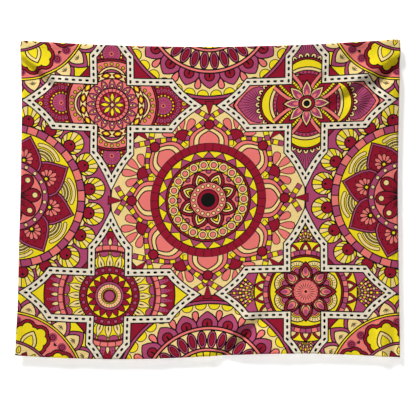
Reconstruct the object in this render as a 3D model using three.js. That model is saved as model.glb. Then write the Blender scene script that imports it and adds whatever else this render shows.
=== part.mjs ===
// Tapestry wall hanging: one light printed cloth, hemmed on all four sides, with a D-ring strapped
// behind each top corner. The rings hang on two stick-on peg hooks.
// Millimetres, +Z up. The wall is the plane y = 0 and the cloth faces -Y. The origin lies on the
// wall, midway between the two pegs.
import * as THREE from "three";

// ---- Driving dimensions, mm ----

// The cloth as it hangs
const hungWidth = 1506;                          // top corner to top corner
const hungHeight = 1255;                         // top corners down to the bottom corners
const cornerRise = 12.5;                         // top corners over the pegs, on average
const topTilt = 2.5;                             // right top corner this much up, left this much down
const bottomTilt = 4;                            // left bottom corner this much up, right this much down
const topSag = 29;                               // droop of the free top edge between the pegs
const bottomSwing = 13;                          // bottom edge: lower on the left, higher on the right
const leftBow = [0, 6, 5, 1, -5, -10, -20];      // sideways drift of the left edge, top to bottom
const rightBow = [0, -5, -9, -11, -8, -5, -2];   // the same for the right edge
const clothThickness = 0.4;
const foldDrop = 625;                            // the cloth folds in half this far below the pegs
const foldGap = 1;                               // room for the crease between the two halves

// Hems and thread
const hemWidth = 25;                             // double-turned hem
const hemLayers = 2;                             // layers of cloth that a hem adds behind the print
const stitchInset = 2;                           // stitching line to the hem's inner edge
const threadWidth = 0.6;
const threadThickness = 0.3;

// Stick-on peg hooks
const hookInset = 18;                            // peg centre in from the cloth's top corner
const padDiameter = 20;
const padThickness = 1;
const baseDiameter = 20;
const baseThickness = 2.7;
const baseEdge = 1.4;                            // height of the base disc's rim
const pegDiameter = 4;
const pegLength = 12;
const pegFillet = 1.2;
const headDiameter = 8;
const headThickness = 2.5;

// D-rings, ring tabs and bar tacks
const wireDiameter = 2.4;
const ringInnerWidth = 16;
const ringInnerHeight = 13;
const ringCornerRadius = 2.8;                    // centre line, at the ends of the straight bar
const ringButtGap = 0.4;                         // the bent wire's ends meet behind the tab
const tapeThickness = 0.8;
const tabWidth = 12;
const tabSewnLength = 14;                        // length of tab that lies flat on the hem
const tabSlope = 12;                             // drop from the ring's bar to the flat stretch
const tackLength = 10;
const tackWidth = 2;
const tackThickness = 0.4;

const clearance = 0.3;                           // between pieces that touch
const headToCloth = 1.5;                         // room in front of the peg's head
const outlineStep = 90;                          // longest straight step along a cloth edge

// ---- Places that follow from the dimensions ----
const pegX = hungWidth / 2 - hookInset;
const hookBackY = -(padThickness + clearance);
const pegStartY = hookBackY - baseThickness;
const hookFrontY = pegStartY - pegLength - headThickness;
const hemBackY = hookFrontY - headToCloth;
const hemThickness = hemLayers * clothThickness;
const clothBackY = hemBackY - hemThickness - clearance;
const threadBackY = clothBackY - clothThickness - clearance;

const wireRadius = wireDiameter / 2;
const ringY = pegStartY - pegLength / 2;
const ringTopZ = pegDiameter / 2 + clearance + wireRadius;
const ringBarZ = ringTopZ - ringInnerHeight - wireDiameter;
const tabFlatTopZ = ringBarZ - tabSlope;
const tabMidY = hemBackY + clearance + tapeThickness;

// ---- Finishes ----
const finishes = {
  print: { color: 0xa5142f, roughness: 0.85, metalness: 0 },
  hem: { color: 0xb98a86, roughness: 0.9, metalness: 0 },
  thread: { color: 0x6e1730, roughness: 0.7, metalness: 0 },
  tape: { color: 0x2b2a26, roughness: 0.9, metalness: 0 },
  ring: { color: 0xb9bcc0, roughness: 0.25, metalness: 1 },
  hook: { color: 0xf2f2ee, roughness: 0.3, metalness: 0 },
  pad: { color: 0xd9d9d4, roughness: 0.9, metalness: 0 },
};

const tapestry = new THREE.Group();

function addPart(name, finish, geometry) {
  const mesh = new THREE.Mesh(geometry, new THREE.MeshStandardMaterial(finishes[finish]));
  mesh.name = name;
  tapestry.add(mesh);
  return mesh;
}

// ---- The hanging cloth's surface ----

// Sideways drift of a side edge, a smooth line through its bow values; share runs 0 to 1 downward.
function bow(values, share) {
  const line = new THREE.SplineCurve(values.map((value, i) => new THREE.Vector2(i, value)));
  return line.getPoint(share).y;
}

function topEdgeZ(share) {
  const chord = cornerRise + topTilt * (2 * share - 1);
  return chord - 4 * topSag * share * (1 - share);
}

function bottomEdgeZ(share) {
  const chord = cornerRise - hungHeight + bottomTilt * (1 - 2 * share);
  return chord - bottomSwing * Math.sin(2 * Math.PI * share);
}

// A place on the cloth, from its distance across from the left edge and down from the top edge.
function clothPoint(across, down) {
  const u = across / hungWidth;
  const v = down / hungHeight;
  const x = (u - 0.5) * hungWidth + (1 - u) * bow(leftBow, v) + u * bow(rightBow, v);
  return new THREE.Vector2(x, THREE.MathUtils.lerp(topEdgeZ(u), bottomEdgeZ(u), v));
}

// Distance down the cloth to the straight fold line, shifted by offset.
function downToFold(across, offset) {
  const top = topEdgeZ(across / hungWidth);
  const bottom = bottomEdgeZ(across / hungWidth);
  return hungHeight * (top + foldDrop + offset) / (top - bottom);
}

function stepsBetween(from, to) {
  const count = Math.max(1, Math.ceil(Math.abs(to - from) / outlineStep));
  return Array.from({ length: count }, (_, i) => THREE.MathUtils.lerp(from, to, i / count));
}

// A sheet cut from the cloth's surface: across from left to right, and from top(across) down to
// bottom(across). backY is its rear face, and thickness runs forward from there.
function clothPiece(left, right, top, bottom, backY, thickness) {
  const outline = [
    ...stepsBetween(left, right).map((across) => clothPoint(across, top(across))),
    ...stepsBetween(top(right), bottom(right)).map((down) => clothPoint(right, down)),
    ...stepsBetween(right, left).map((across) => clothPoint(across, bottom(across))),
    ...stepsBetween(bottom(left), top(left)).map((down) => clothPoint(left, down)),
  ];
  const geometry = new THREE.ExtrudeGeometry(new THREE.Shape(outline), {
    depth: thickness,
    bevelEnabled: false,
  });
  return geometry.rotateX(Math.PI / 2).translate(0, backY, 0);
}

// ---- Printed cloth, hems and stitching ----

// Everything is cut at the fold line: the upper half hangs on the rings, the lower half folds up.
const topLine = () => 0;
const bottomLine = () => hungHeight;
const aboveFold = (across) => downToFold(across, -foldGap / 2);
const belowFold = (across) => downToFold(across, foldGap / 2);

addPart("printed_cloth_upper", "print",
  clothPiece(0, hungWidth, topLine, aboveFold, clothBackY, clothThickness));
addPart("printed_cloth_lower", "print",
  clothPiece(0, hungWidth, belowFold, bottomLine, clothBackY, clothThickness));

// A border strip on each side of the cloth, from inset to inset + width in from the edge. The top
// and bottom strips run the whole way across, and the side strips fit between them.
function addBorder(names, finish, inset, width, backY, thickness) {
  const inner = inset + width;
  const sideTop = () => inner + clearance;
  const sideBottom = () => hungHeight - inner - clearance;
  const sides = { left: [inset, inner], right: [hungWidth - inner, hungWidth - inset] };
  const fullWidth = [inset, hungWidth - inset];

  addPart(names.top, finish,
    clothPiece(...fullWidth, () => inset, () => inner, backY, thickness));
  addPart(names.bottom, finish,
    clothPiece(...fullWidth, () => hungHeight - inner, () => hungHeight - inset, backY, thickness));
  for (const [side, span] of Object.entries(sides)) {
    addPart(`${side}_${names.upper}`, finish,
      clothPiece(...span, sideTop, aboveFold, backY, thickness));
    addPart(`${side}_${names.lower}`, finish,
      clothPiece(...span, belowFold, sideBottom, backY, thickness));
  }
}

const hemNames = { top: "top_hem", bottom: "bottom_hem", upper: "hem_upper", lower: "hem_lower" };
addBorder(hemNames, "hem", 0, hemWidth, hemBackY, hemThickness);

const stitchNames = {
  top: "top_hem_stitching",
  bottom: "bottom_hem_stitching",
  upper: "hem_stitching_upper",
  lower: "hem_stitching_lower",
};
const stitchLine = hemWidth - stitchInset - threadWidth;
addBorder(stitchNames, "thread", stitchLine, threadWidth, threadBackY, threadThickness);

// ---- Hanging hardware, made once at x = 0 and placed at both pegs ----

// A flat profile in the y, z plane, drawn as width runs across it, centred on x = 0.
function crossExtrude(profile, width, curveSegments) {
  const geometry = new THREE.ExtrudeGeometry(profile, {
    depth: width,
    bevelEnabled: false,
    curveSegments,
  });
  const alongY = new THREE.Vector3(0, 1, 0);
  const alongZ = new THREE.Vector3(0, 0, 1);
  const alongX = new THREE.Vector3(1, 0, 0);
  geometry.applyMatrix4(new THREE.Matrix4().makeBasis(alongY, alongZ, alongX));
  return geometry.translate(-width / 2, 0, 0);
}

// A turned shape standing out of the wall: [radius, height] pairs, with height 0 at backY.
function turned(profile, backY, segments) {
  const points = profile.map(([radius, height]) => new THREE.Vector2(radius, height));
  return new THREE.LatheGeometry(points, segments).rotateX(Math.PI).translate(0, backY, 0);
}

function adhesivePad() {
  const radius = padDiameter / 2;
  return turned([[0, 0], [radius, 0], [radius, padThickness], [0, padThickness]], 0, 32);
}

// A round base, a plain peg and a button head that keeps the ring on.
function pegHook() {
  const baseRadius = baseDiameter / 2;
  const pegRadius = pegDiameter / 2;
  const headRadius = headDiameter / 2;
  const headStart = baseThickness + pegLength;
  const headEnd = headStart + headThickness;
  const headRound = headThickness * 0.4;
  return turned([
    [0, 0],
    [baseRadius, 0],
    [baseRadius, baseEdge],
    [baseRadius - 2 * (baseThickness - baseEdge), baseThickness],
    [pegRadius + pegFillet, baseThickness],
    [pegRadius + pegFillet * 0.3, baseThickness + pegFillet * 0.3],
    [pegRadius, baseThickness + pegFillet],
    [pegRadius, headStart],
    [headRadius, headStart],
    [headRadius, headEnd - headRound],
    [headRadius - headRound * 0.3, headEnd - headRound * 0.3],
    [headRadius - headRound, headEnd],
    [0, headEnd],
  ], hookBackY, 32);
}

// Round wire bent to a D: a straight bar below and a half circle above, open where its ends butt.
function dRing() {
  const half = ringInnerWidth / 2 + wireRadius;
  const arcZ = ringTopZ - half;
  const cornerX = half - ringCornerRadius;
  const cornerZ = ringBarZ + ringCornerRadius;
  const bend = new THREE.Path();
  bend.moveTo(ringButtGap / 2, ringBarZ);
  bend.lineTo(cornerX, ringBarZ);
  bend.absarc(cornerX, cornerZ, ringCornerRadius, -Math.PI / 2, 0);
  bend.lineTo(half, arcZ);
  bend.absarc(0, arcZ, half, 0, Math.PI);
  bend.lineTo(-half, cornerZ);
  bend.absarc(-cornerX, cornerZ, ringCornerRadius, Math.PI, Math.PI * 1.5);
  bend.lineTo(-ringButtGap / 2, ringBarZ);

  const steps = 56;
  const points = bend.getSpacedPoints(steps).map((p) => new THREE.Vector3(p.x, ringY, p.y));
  const section = new THREE.Shape();
  section.absarc(0, 0, wireRadius, 0, 2 * Math.PI);
  return new THREE.ExtrudeGeometry(section, {
    extrudePath: new THREE.CatmullRomCurve3(points),
    steps,
    curveSegments: 10,
  });
}

// Tape folded round the ring's bar: an eye round the wire, then both layers slope down to the hem
// and lie flat against it.
function ringTab() {
  const eyeRadius = wireRadius + clearance;
  const outerRadius = eyeRadius + tapeThickness;
  const slope = Math.atan2(tabFlatTopZ - ringBarZ, tabMidY - ringY);
  const mouth = Math.asin(tapeThickness / outerRadius);
  const kneeShift = tapeThickness * Math.tan((-Math.PI / 2 - slope) / 2);
  const flatEndZ = tabFlatTopZ - tabSewnLength;

  const profile = new THREE.Shape();
  profile.absarc(ringY, ringBarZ, outerRadius, slope + mouth, slope - mouth + 2 * Math.PI);
  profile.lineTo(tabMidY - tapeThickness, tabFlatTopZ + kneeShift);
  profile.lineTo(tabMidY - tapeThickness, flatEndZ);
  profile.lineTo(tabMidY + tapeThickness, flatEndZ);
  profile.lineTo(tabMidY + tapeThickness, tabFlatTopZ - kneeShift);
  profile.closePath();
  const eye = new THREE.Path();
  eye.absarc(ringY, ringBarZ, eyeRadius, 0, 2 * Math.PI);
  profile.holes.push(eye);
  return crossExtrude(profile, tabWidth, 20);
}

// A dense bar of thread across the tab's flat stretch.
function barTack() {
  const backY = tabMidY + tapeThickness + clearance + tackThickness / 2;
  const middleZ = tabFlatTopZ - tabSewnLength / 2;
  const geometry = new THREE.BoxGeometry(tackLength, tackThickness, tackWidth);
  return geometry.translate(0, backY, middleZ);
}

for (const [side, x] of [["left", -pegX], ["right", pegX]]) {
  addPart(`adhesive_pad_${side}`, "pad", adhesivePad()).position.x = x;
  addPart(`peg_hook_${side}`, "hook", pegHook()).position.x = x;
  addPart(`d_ring_${side}`, "ring", dRing()).position.x = x;
  addPart(`ring_tab_${side}`, "tape", ringTab()).position.x = x;
  addPart(`bar_tack_${side}`, "thread", barTack()).position.x = x;
}

export default tapestry;
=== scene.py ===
import cmath
import math

import bmesh
import bpy
import numpy as np
from mathutils import Matrix, Vector
from mathutils.geometry import delaunay_2d_cdt


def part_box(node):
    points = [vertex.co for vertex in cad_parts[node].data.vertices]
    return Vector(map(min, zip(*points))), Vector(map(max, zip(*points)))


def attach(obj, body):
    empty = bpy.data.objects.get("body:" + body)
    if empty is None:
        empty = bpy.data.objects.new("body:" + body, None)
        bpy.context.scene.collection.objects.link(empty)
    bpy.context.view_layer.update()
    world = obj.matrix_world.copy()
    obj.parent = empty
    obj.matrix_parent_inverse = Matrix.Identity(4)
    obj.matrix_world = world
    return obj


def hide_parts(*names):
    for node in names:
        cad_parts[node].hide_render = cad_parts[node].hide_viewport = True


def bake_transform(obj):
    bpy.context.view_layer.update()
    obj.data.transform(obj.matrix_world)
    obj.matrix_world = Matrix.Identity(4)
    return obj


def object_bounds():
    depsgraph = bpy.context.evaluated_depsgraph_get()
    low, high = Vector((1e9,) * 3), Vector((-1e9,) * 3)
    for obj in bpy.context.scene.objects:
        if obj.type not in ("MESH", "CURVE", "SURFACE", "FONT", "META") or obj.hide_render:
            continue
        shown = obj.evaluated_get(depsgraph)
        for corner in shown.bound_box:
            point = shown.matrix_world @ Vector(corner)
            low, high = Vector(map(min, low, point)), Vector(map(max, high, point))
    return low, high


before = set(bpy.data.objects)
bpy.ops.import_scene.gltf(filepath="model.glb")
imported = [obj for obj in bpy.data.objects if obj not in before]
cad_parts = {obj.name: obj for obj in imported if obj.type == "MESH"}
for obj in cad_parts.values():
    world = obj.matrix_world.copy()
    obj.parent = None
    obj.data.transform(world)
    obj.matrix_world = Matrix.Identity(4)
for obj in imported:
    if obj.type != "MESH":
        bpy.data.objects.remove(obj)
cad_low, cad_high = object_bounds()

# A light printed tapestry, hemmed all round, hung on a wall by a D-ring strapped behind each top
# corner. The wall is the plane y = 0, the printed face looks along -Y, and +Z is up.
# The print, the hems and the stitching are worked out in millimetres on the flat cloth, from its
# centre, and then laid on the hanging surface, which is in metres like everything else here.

MM = 0.001
scene = bpy.context.scene


# ---- Camera ----

VIEW_WIDTH = 1.6465          # metres seen from side to side at the cloth
CAMERA_RIGHT = 0.0006        # metres from the cloth's middle
CAMERA_BELOW = 0.0356
LENS = 85.0
SENSOR = 36.0


def add_camera():
    """Square on to the cloth, a little below its middle."""
    data = bpy.data.cameras.new("camera")
    data.lens = LENS
    data.sensor_width = SENSOR
    camera = bpy.data.objects.new("camera", data)
    middle = (cad_low + cad_high) / 2
    distance = VIEW_WIDTH * LENS / SENSOR
    camera.location = (middle.x + CAMERA_RIGHT, cad_low.y - distance, middle.z - CAMERA_BELOW)
    camera.rotation_euler = (math.pi / 2, 0, 0)
    scene.collection.objects.link(camera)
    scene.camera = camera


add_camera()


# ---- The print, drawn flat ----
# A place on the flat cloth is a complex number in mm: across from its centre, and up from it.
# A shape is a closed outline, and later shapes lie over earlier ones in the same zone.
# The numbers in a drawing below are mm from its own centre, and angles are in degrees.

CLOTH_WIDTH = 1524.0
CLOTH_HEIGHT = 1270.0
HALF_WIDTH = CLOTH_WIDTH / 2
HALF_HEIGHT = CLOTH_HEIGHT / 2
REPEAT_X = 785.0             # from one mandala's centre to the next
REPEAT_Y = 773.0
PRINT_DRIFT = -4 + 7j        # the print is seldom centred on the cloth
INK_LINE = 4.8               # widths of the dark lines round the shapes
FINE_LINE = 3.4
BOLD_LINE = 6.0
BAND_HALF = 12.5             # half the width of the pale band round a medallion
MANDALA_REACH = 392.0        # the radius of the sun mandala, and the rim of the flower mandalas
FLOWER_TURN = -14.7          # degrees
BLOSSOM_RIM = 12.0
# A blossom's lobes as (angle, distance from its middle), and the way of a bead string round an
# arch as (outwards, sideways)
BLOSSOM_LOBES = [(-112, 44), (-76, 46), (-40, 44), (0, 26), (40, 44), (76, 46), (112, 44)]
SUN_STRING = [(222, 90), (243, 88), (268, 79), (292, 56), (314, 30), (334, 3), (347, -17),
              (359, -36), (371, -56)]

DYES = {
    "crimson": "#92122C",
    "plum": "#AC466D",
    "coral": "#EA7872",
    "yellow": "#F0D91C",
    "cream": "#F1D48D",
    "band": "#E8DCC6",
    "ink": "#0D100C",
}
# The field of mandalas, the bands round the medallions, and the four medallions
ZONES = ("field", "band", "cross0", "cross1", "cross2", "cross3")

fresh_shapes = []            # the shapes drawn since the last call of keep_as, as (outline, dye)
painting = []                # every shape kept, as (outline, dye, zone)
zone_layers = []             # (outline, number) where the band, 0, or a medallion, 1 to 4, is seen


def unit(degrees):
    """The direction at an angle, as a complex number of length 1."""
    return cmath.rect(1.0, math.radians(degrees))


def around(count, start=0.0):
    """Evenly spaced directions, all the way round."""
    return [unit(start + 360.0 * k / count) for k in range(count)]


def placed(outline, centre, turn=1.0):
    """The outline turned and moved to a centre."""
    return [centre + point * turn for point in outline]


def circle(radius, corners=None):
    """A circle with more corners the larger it is, unless their number is given."""
    corners = corners or max(8, min(96, int(6 + radius * 0.45)))
    return [radius * unit(360.0 * k / corners) for k in range(corners)]


def leaf(inner, outer, width, base=0.5, tip=1.0, steps=6):
    """A petal along +x; an end with power 0.5 is round, with power 1 it is pointed."""
    peak = base / (base + tip)
    widest = peak ** base * (1 - peak) ** tip
    shares = [(1 - math.cos(math.pi * k / steps)) / 2 for k in range(1, steps)]
    halves = [width / 2 * s ** base * (1 - s) ** tip / widest for s in shares]
    places = [inner + (outer - inner) * s for s in shares]
    upper = [complex(x, h) for x, h in zip(places, halves)]
    lower = [p.conjugate() for p in reversed(upper)]
    return [complex(inner, 0)] + lower[::-1] + [complex(outer, 0)] + upper[::-1]


def segment(inner, outer, start, end, steps=2):
    """A piece of a ring between two angles in degrees."""
    angles = [start + (end - start) * k / steps for k in range(steps + 1)]
    return [outer * unit(a) for a in angles] + [inner * unit(a) for a in reversed(angles)]


def arch(half_width, tip, foot=215.0, shoulder=245.0):
    """A pointed arch along +x: upright sides from its foot to its shoulder, then in to the tip."""
    side = [complex(foot, half_width), complex(shoulder, half_width)]
    rise = tip - shoulder
    for share, fill in ((0.25, 0.94), (0.45, 0.81), (0.65, 0.6), (0.82, 0.33)):
        side.append(complex(shoulder + rise * share, half_width * fill))
    return [p.conjugate() for p in side] + [complex(tip, 0)] + side[::-1]


def wedge(base_radius, tip_radius, half_angle):
    """A triangle along +x that stands on a circle."""
    return [base_radius * unit(-half_angle), complex(tip_radius, 0), base_radius * unit(half_angle)]


def area(outline):
    """Positive where the outline runs anticlockwise."""
    return sum((a.conjugate() * b).imag for a, b in zip(outline, outline[1:] + outline[:1])) / 2


NEXT_TO_NOTHING = 1e-9
FLAT_BACK = 0.05             # the outline all but doubles back where its two normals add up to less


def grown(outline, distance, miter=2.2):
    """The outline moved outwards by distance, or inwards where it is negative.

    A sharp corner moves by at most miter times as far."""
    side = -1j if area(outline) > 0 else 1j
    moved = []
    count = len(outline)
    for k, point in enumerate(outline):
        before = point - outline[k - 1]
        after = outline[(k + 1) % count] - point
        if abs(before) < NEXT_TO_NOTHING or abs(after) < NEXT_TO_NOTHING:
            continue
        n1 = before / abs(before) * side
        n2 = after / abs(after) * side
        mid = n1 + n2
        if abs(mid) < FLAT_BACK:
            moved.append(point + n1 * distance)
            continue
        mid /= abs(mid)
        stretch = min(miter, 1 / max(0.2, (mid * n1.conjugate()).real))
        moved.append(point + mid * distance * stretch)
    return moved


def dye(outline, colour):
    """Draws a shape without a line round it."""
    fresh_shapes.append((outline, colour))


def keep_as(zone):
    """Moves the shapes drawn since the last call into the painting, as parts of one zone."""
    painting.extend((placed(outline, PRINT_DRIFT), colour, zone) for outline, colour in fresh_shapes)
    fresh_shapes.clear()


def lined(outline, colour, line=INK_LINE):
    """Draws a shape with a dark line along its outline."""
    dye(grown(outline, line / 2), "ink")
    dye(grown(outline, -line / 2), colour)


def discs(centre, rings, line=INK_LINE):
    """Discs on one centre, (radius, colour) from the largest in."""
    for radius, colour in rings:
        dye(placed(circle(radius + line / 2), centre), "ink")
        dye(placed(circle(radius - line / 2), centre), colour)


def spots(centre, radius, count, size, colours, start=0.0, line=FINE_LINE, corners=8):
    """Dots on a circle, colours being (share of the size, colour) from the largest in."""
    for turn in around(count, start):
        at = centre + radius * turn
        for share, colour in colours:
            if share == 1 and line:
                dye(placed(circle(size + line / 2, corners), at), "ink")
            dye(placed(circle(size * share - (line / 2 if share == 1 else 0), corners), at), colour)


def petals(centre, count, start, layers, line=INK_LINE):
    """Nested petals: each layer is (inner, outer, width, base, tip, colour)."""
    for turn in around(count, start):
        for inner, outer, width, base, tip, colour in layers:
            lined(placed(leaf(inner, outer, width, base, tip), centre, turn), colour, line)


def blocks(centre, inner, outer, count, colours, start=0.0, line=INK_LINE):
    """A ring cut into pieces of repeating colours."""
    dye(placed(circle(outer + line / 2), centre), "ink")
    gap = math.degrees(line / 2 / ((inner + outer) / 2))
    step = 360.0 / count
    for k in range(count):
        angle = start + k * step
        piece = segment(inner + line / 2, outer - line / 2, angle + gap, angle + step - gap)
        dye(placed(piece, centre), colours[k % len(colours)])


def triangles(centre, base_radius, tip_radius, count, half_angle, colour, start=0.0, line=FINE_LINE):
    """A ring of outlined wedges."""
    for turn in around(count, start):
        lined(placed(wedge(base_radius, tip_radius, half_angle), centre, turn), colour, line)


def ribbon(path, width):
    """An open path given a width."""
    left, right = [], []
    for k, point in enumerate(path):
        ahead = path[min(k + 1, len(path) - 1)] - path[max(k - 1, 0)]
        across = 1j * ahead / abs(ahead) * width / 2
        left.append(point + across)
        right.append(point - across)
    return left + right[::-1]


def arc(centre, radius, start, end, steps=8):
    """An open path round a centre."""
    return [centre + radius * unit(start + (end - start) * k / steps) for k in range(steps + 1)]


def stripe(path, width, colour):
    """Draws a path as an outlined stripe with square ends."""
    dye(ribbon(path, width + FINE_LINE), "ink")
    dye(ribbon(path, width - FINE_LINE), colour)


def round_bar(path, width, colour):
    """A stripe with round ends."""
    for grow, shade in ((FINE_LINE / 2, "ink"), (-FINE_LINE / 2, colour)):
        for end in (path[0], path[-1]):
            dye(placed(circle(width / 2 + grow, 8), end), shade)
        dye(ribbon(path, width + 2 * grow), shade)


def spaced(path, count):
    """The path again, at count + 1 even steps."""
    lengths = [abs(b - a) for a, b in zip(path, path[1:])]
    total = sum(lengths)
    result, walked, k = [], 0.0, 0
    for n in range(count + 1):
        goal = total * n / count
        while k < len(lengths) - 1 and walked + lengths[k] < goal:
            walked += lengths[k]
            k += 1
        share = (goal - walked) / lengths[k] if lengths[k] else 0
        result.append(path[k] + (path[k + 1] - path[k]) * share)
    return result


def bead_string(path, width, count, colours):
    """A string of square beads along a path."""
    marks = spaced(path, count * 2)
    dye(ribbon(marks[::2], width + FINE_LINE), "ink")
    for k in range(count):
        start, middle, end = marks[2 * k:2 * k + 3]
        margin = (end - start) / abs(end - start) * FINE_LINE / 2
        dye(ribbon([start + margin, middle, end - margin], width - FINE_LINE), colours[k % len(colours)])


def sun_mandala(centre):
    """Pointed lotus arches on beaded strings round a bead wheel, with a dark eye."""
    discs(centre, [(MANDALA_REACH, "cream")])
    for turn in around(8, 22.5):
        for spread in (-51, -17, 17, 51):
            flute = placed(leaf(30, 101 - abs(spread) * 0.25, 31, 1.0, 0.42), 276, unit(spread))
            lined(placed(flute, centre, turn), "coral", FINE_LINE)
        lined(placed(circle(34, 18), centre + 276 * turn), "crimson")
    for turn in around(8):
        corner = [complex(343, 0), complex(404, -17), complex(404, 17)]
        lined(placed(corner, centre, turn), "crimson", FINE_LINE)
        for side in (1, -1):
            path = [complex(r, t * side) for r, t in SUN_STRING]
            bead_string(placed(path, centre, turn), 21, 10, ("yellow", "plum"))
        lined(placed(arch(80, 314), centre, turn), "coral")
        lined(placed(arch(61, 300), centre, turn), "cream")
        lined(placed(arch(41, 284), centre, turn), "coral")
        lined(placed(circle(20, 14), centre + 309 * turn), "crimson")
    blocks(centre, 200, 233, 42, ("crimson",), line=2.2)
    discs(centre, [(200, "coral")])
    dye(placed(circle(198), centre), "yellow")
    triangles(centre, 172, 200, 22, 8.2, "plum", start=360 / 44)
    discs(centre, [(171, "crimson"), (162, "yellow")])
    spots(centre, 144, 22, 19.5, ((1, "cream"), (0.66, "ink"), (0.5, "coral")), corners=12)
    discs(centre, [(123, "coral")])
    for turn in around(8):
        lined(placed(leaf(108, 124, 22, 0.8, 0.8, 4), centre, turn), "plum", FINE_LINE)
    petals(centre, 8, 22.5, [
        (48, 122, 70, 0.55, 0.75, "crimson"),
        (62, 112, 46, 0.45, 0.9, "cream"),
        (62, 99, 28, 0.45, 0.9, "yellow"),
        (60, 84, 18, 0.5, 0.6, "crimson"),
    ])
    discs(centre, [(73, "coral")])
    spots(centre, 59, 16, 7.5, ((1, "cream"),))
    discs(centre, [(43, "crimson"), (27, "ink")])


def flower_mandala(centre):
    """Eight broad pointed petals, a chequered ring and striped hoods round the rim."""
    discs(centre, [(MANDALA_REACH, "plum"), (303, "cream")])
    for turn in around(20, 8):
        hood = [307 + complex(18 + 46 * unit(a).real, 46 * unit(a).imag) for a in range(-143, 144, 13)]
        lined(placed(hood, centre, turn), "cream")
        for middle in range(-120, 121, 60):
            first, last = middle - 15, middle + 15
            rib = [307 + 24 * unit(first), 325 + 45 * unit(first), 325 + 45 * unit(middle),
                   325 + 45 * unit(last), 307 + 24 * unit(last)]
            lined(placed(rib, centre, turn), "yellow", FINE_LINE)
        lined(placed(circle(24, 14), centre + 307 * turn), "crimson")
        dye(placed(circle(5.5, 8), centre + 317 * turn), "ink")
    blocks(centre, 258, 288, 40, ("coral", "plum"), start=-1.5)
    discs(centre, [(258, "yellow")])
    for turn in around(8, FLOWER_TURN + 22.5):
        for radius, half, width in ((80, 36, 14), (62, 36, 8), (50, 34, 8), (37, 34, 9)):
            round_bar(placed(arc(164, radius, -half, half, 6), centre, turn), width, "cream")
    for turn in around(8, FLOWER_TURN):
        lined(placed(leaf(90, 253, 150, 0.6, 1.15, 9), centre, turn), "plum")
        lined(placed(leaf(96, 240, 130, 0.6, 1.15, 9), centre, turn), "crimson", FINE_LINE)
        for k in range(-3, 4):
            drop = placed(leaf(9, 48 - 4.5 * abs(k), 17, 1.0, 0.5, 5), 150, unit(30 * k))
            lined(placed(drop, centre, turn), "coral", FINE_LINE)
        for k in range(-3, 3):
            dye(placed(circle(3.2, 6), centre + (150 + 52 * unit(30 * k + 15)) * turn), "ink")
        lined(placed(circle(8, 8), centre + 150 * turn), "yellow", FINE_LINE)
    discs(centre, [(139, "plum")])
    spots(centre, 126, 19, 8, ((1, "cream"),), start=10.5)
    discs(centre, [(115, "coral")])
    for turn in around(8, 5):
        lined(placed(leaf(4, 110, 56, 0.9, 0.5, 8), centre, turn), "crimson")
        for spread in (-9, 0, 9):
            vein = placed(leaf(14, 70 - abs(spread) * 1.5, 5, 0.8, 1.0, 3), 0, unit(spread))
            dye(placed(vein, centre, turn), "ink")
        lined(placed(circle(12, 10), centre + 86 * turn), "cream", FINE_LINE)


def plume_mandala(centre):
    """Rings of oval seeds and plum plumes, scalloped round the rim."""
    discs(centre, [(430, "crimson"), (361, "plum"), (348, "cream")])
    for turn in around(40, 4.5):
        half = [346 + 23 * unit(90 + 180 * k / 8) for k in range(9)]
        lined(placed(half, centre, turn), "yellow", FINE_LINE)
    for turn in around(20, 9):
        lined(placed(leaf(276, 322, 26, 0.9, 0.5), centre, turn), "coral")
    for turn in around(20):
        lined(placed(leaf(226, 316, 86, 0.6, 0.85, 8), centre, turn), "plum")
        lined(placed(circle(20, 14), centre + 266 * turn), "crimson")
        dye(placed(leaf(246, 276, 8, 0.5, 0.5, 3), centre, turn), "ink")
    discs(centre, [(254, "coral"), (240, "cream")], BOLD_LINE)
    for turn in around(32, 5.6):
        lined(placed(leaf(166, 237, 35, 0.5, 0.5, 8), centre, turn), "plum")
        lined(placed(leaf(176, 228, 19, 0.5, 0.5, 6), centre, turn), "crimson", FINE_LINE)
    discs(centre, [(166, "coral"), (153, "ink")], BOLD_LINE)
    blocks(centre, 120, 152, 34, ("yellow",))
    discs(centre, [(118, "plum")])


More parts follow.
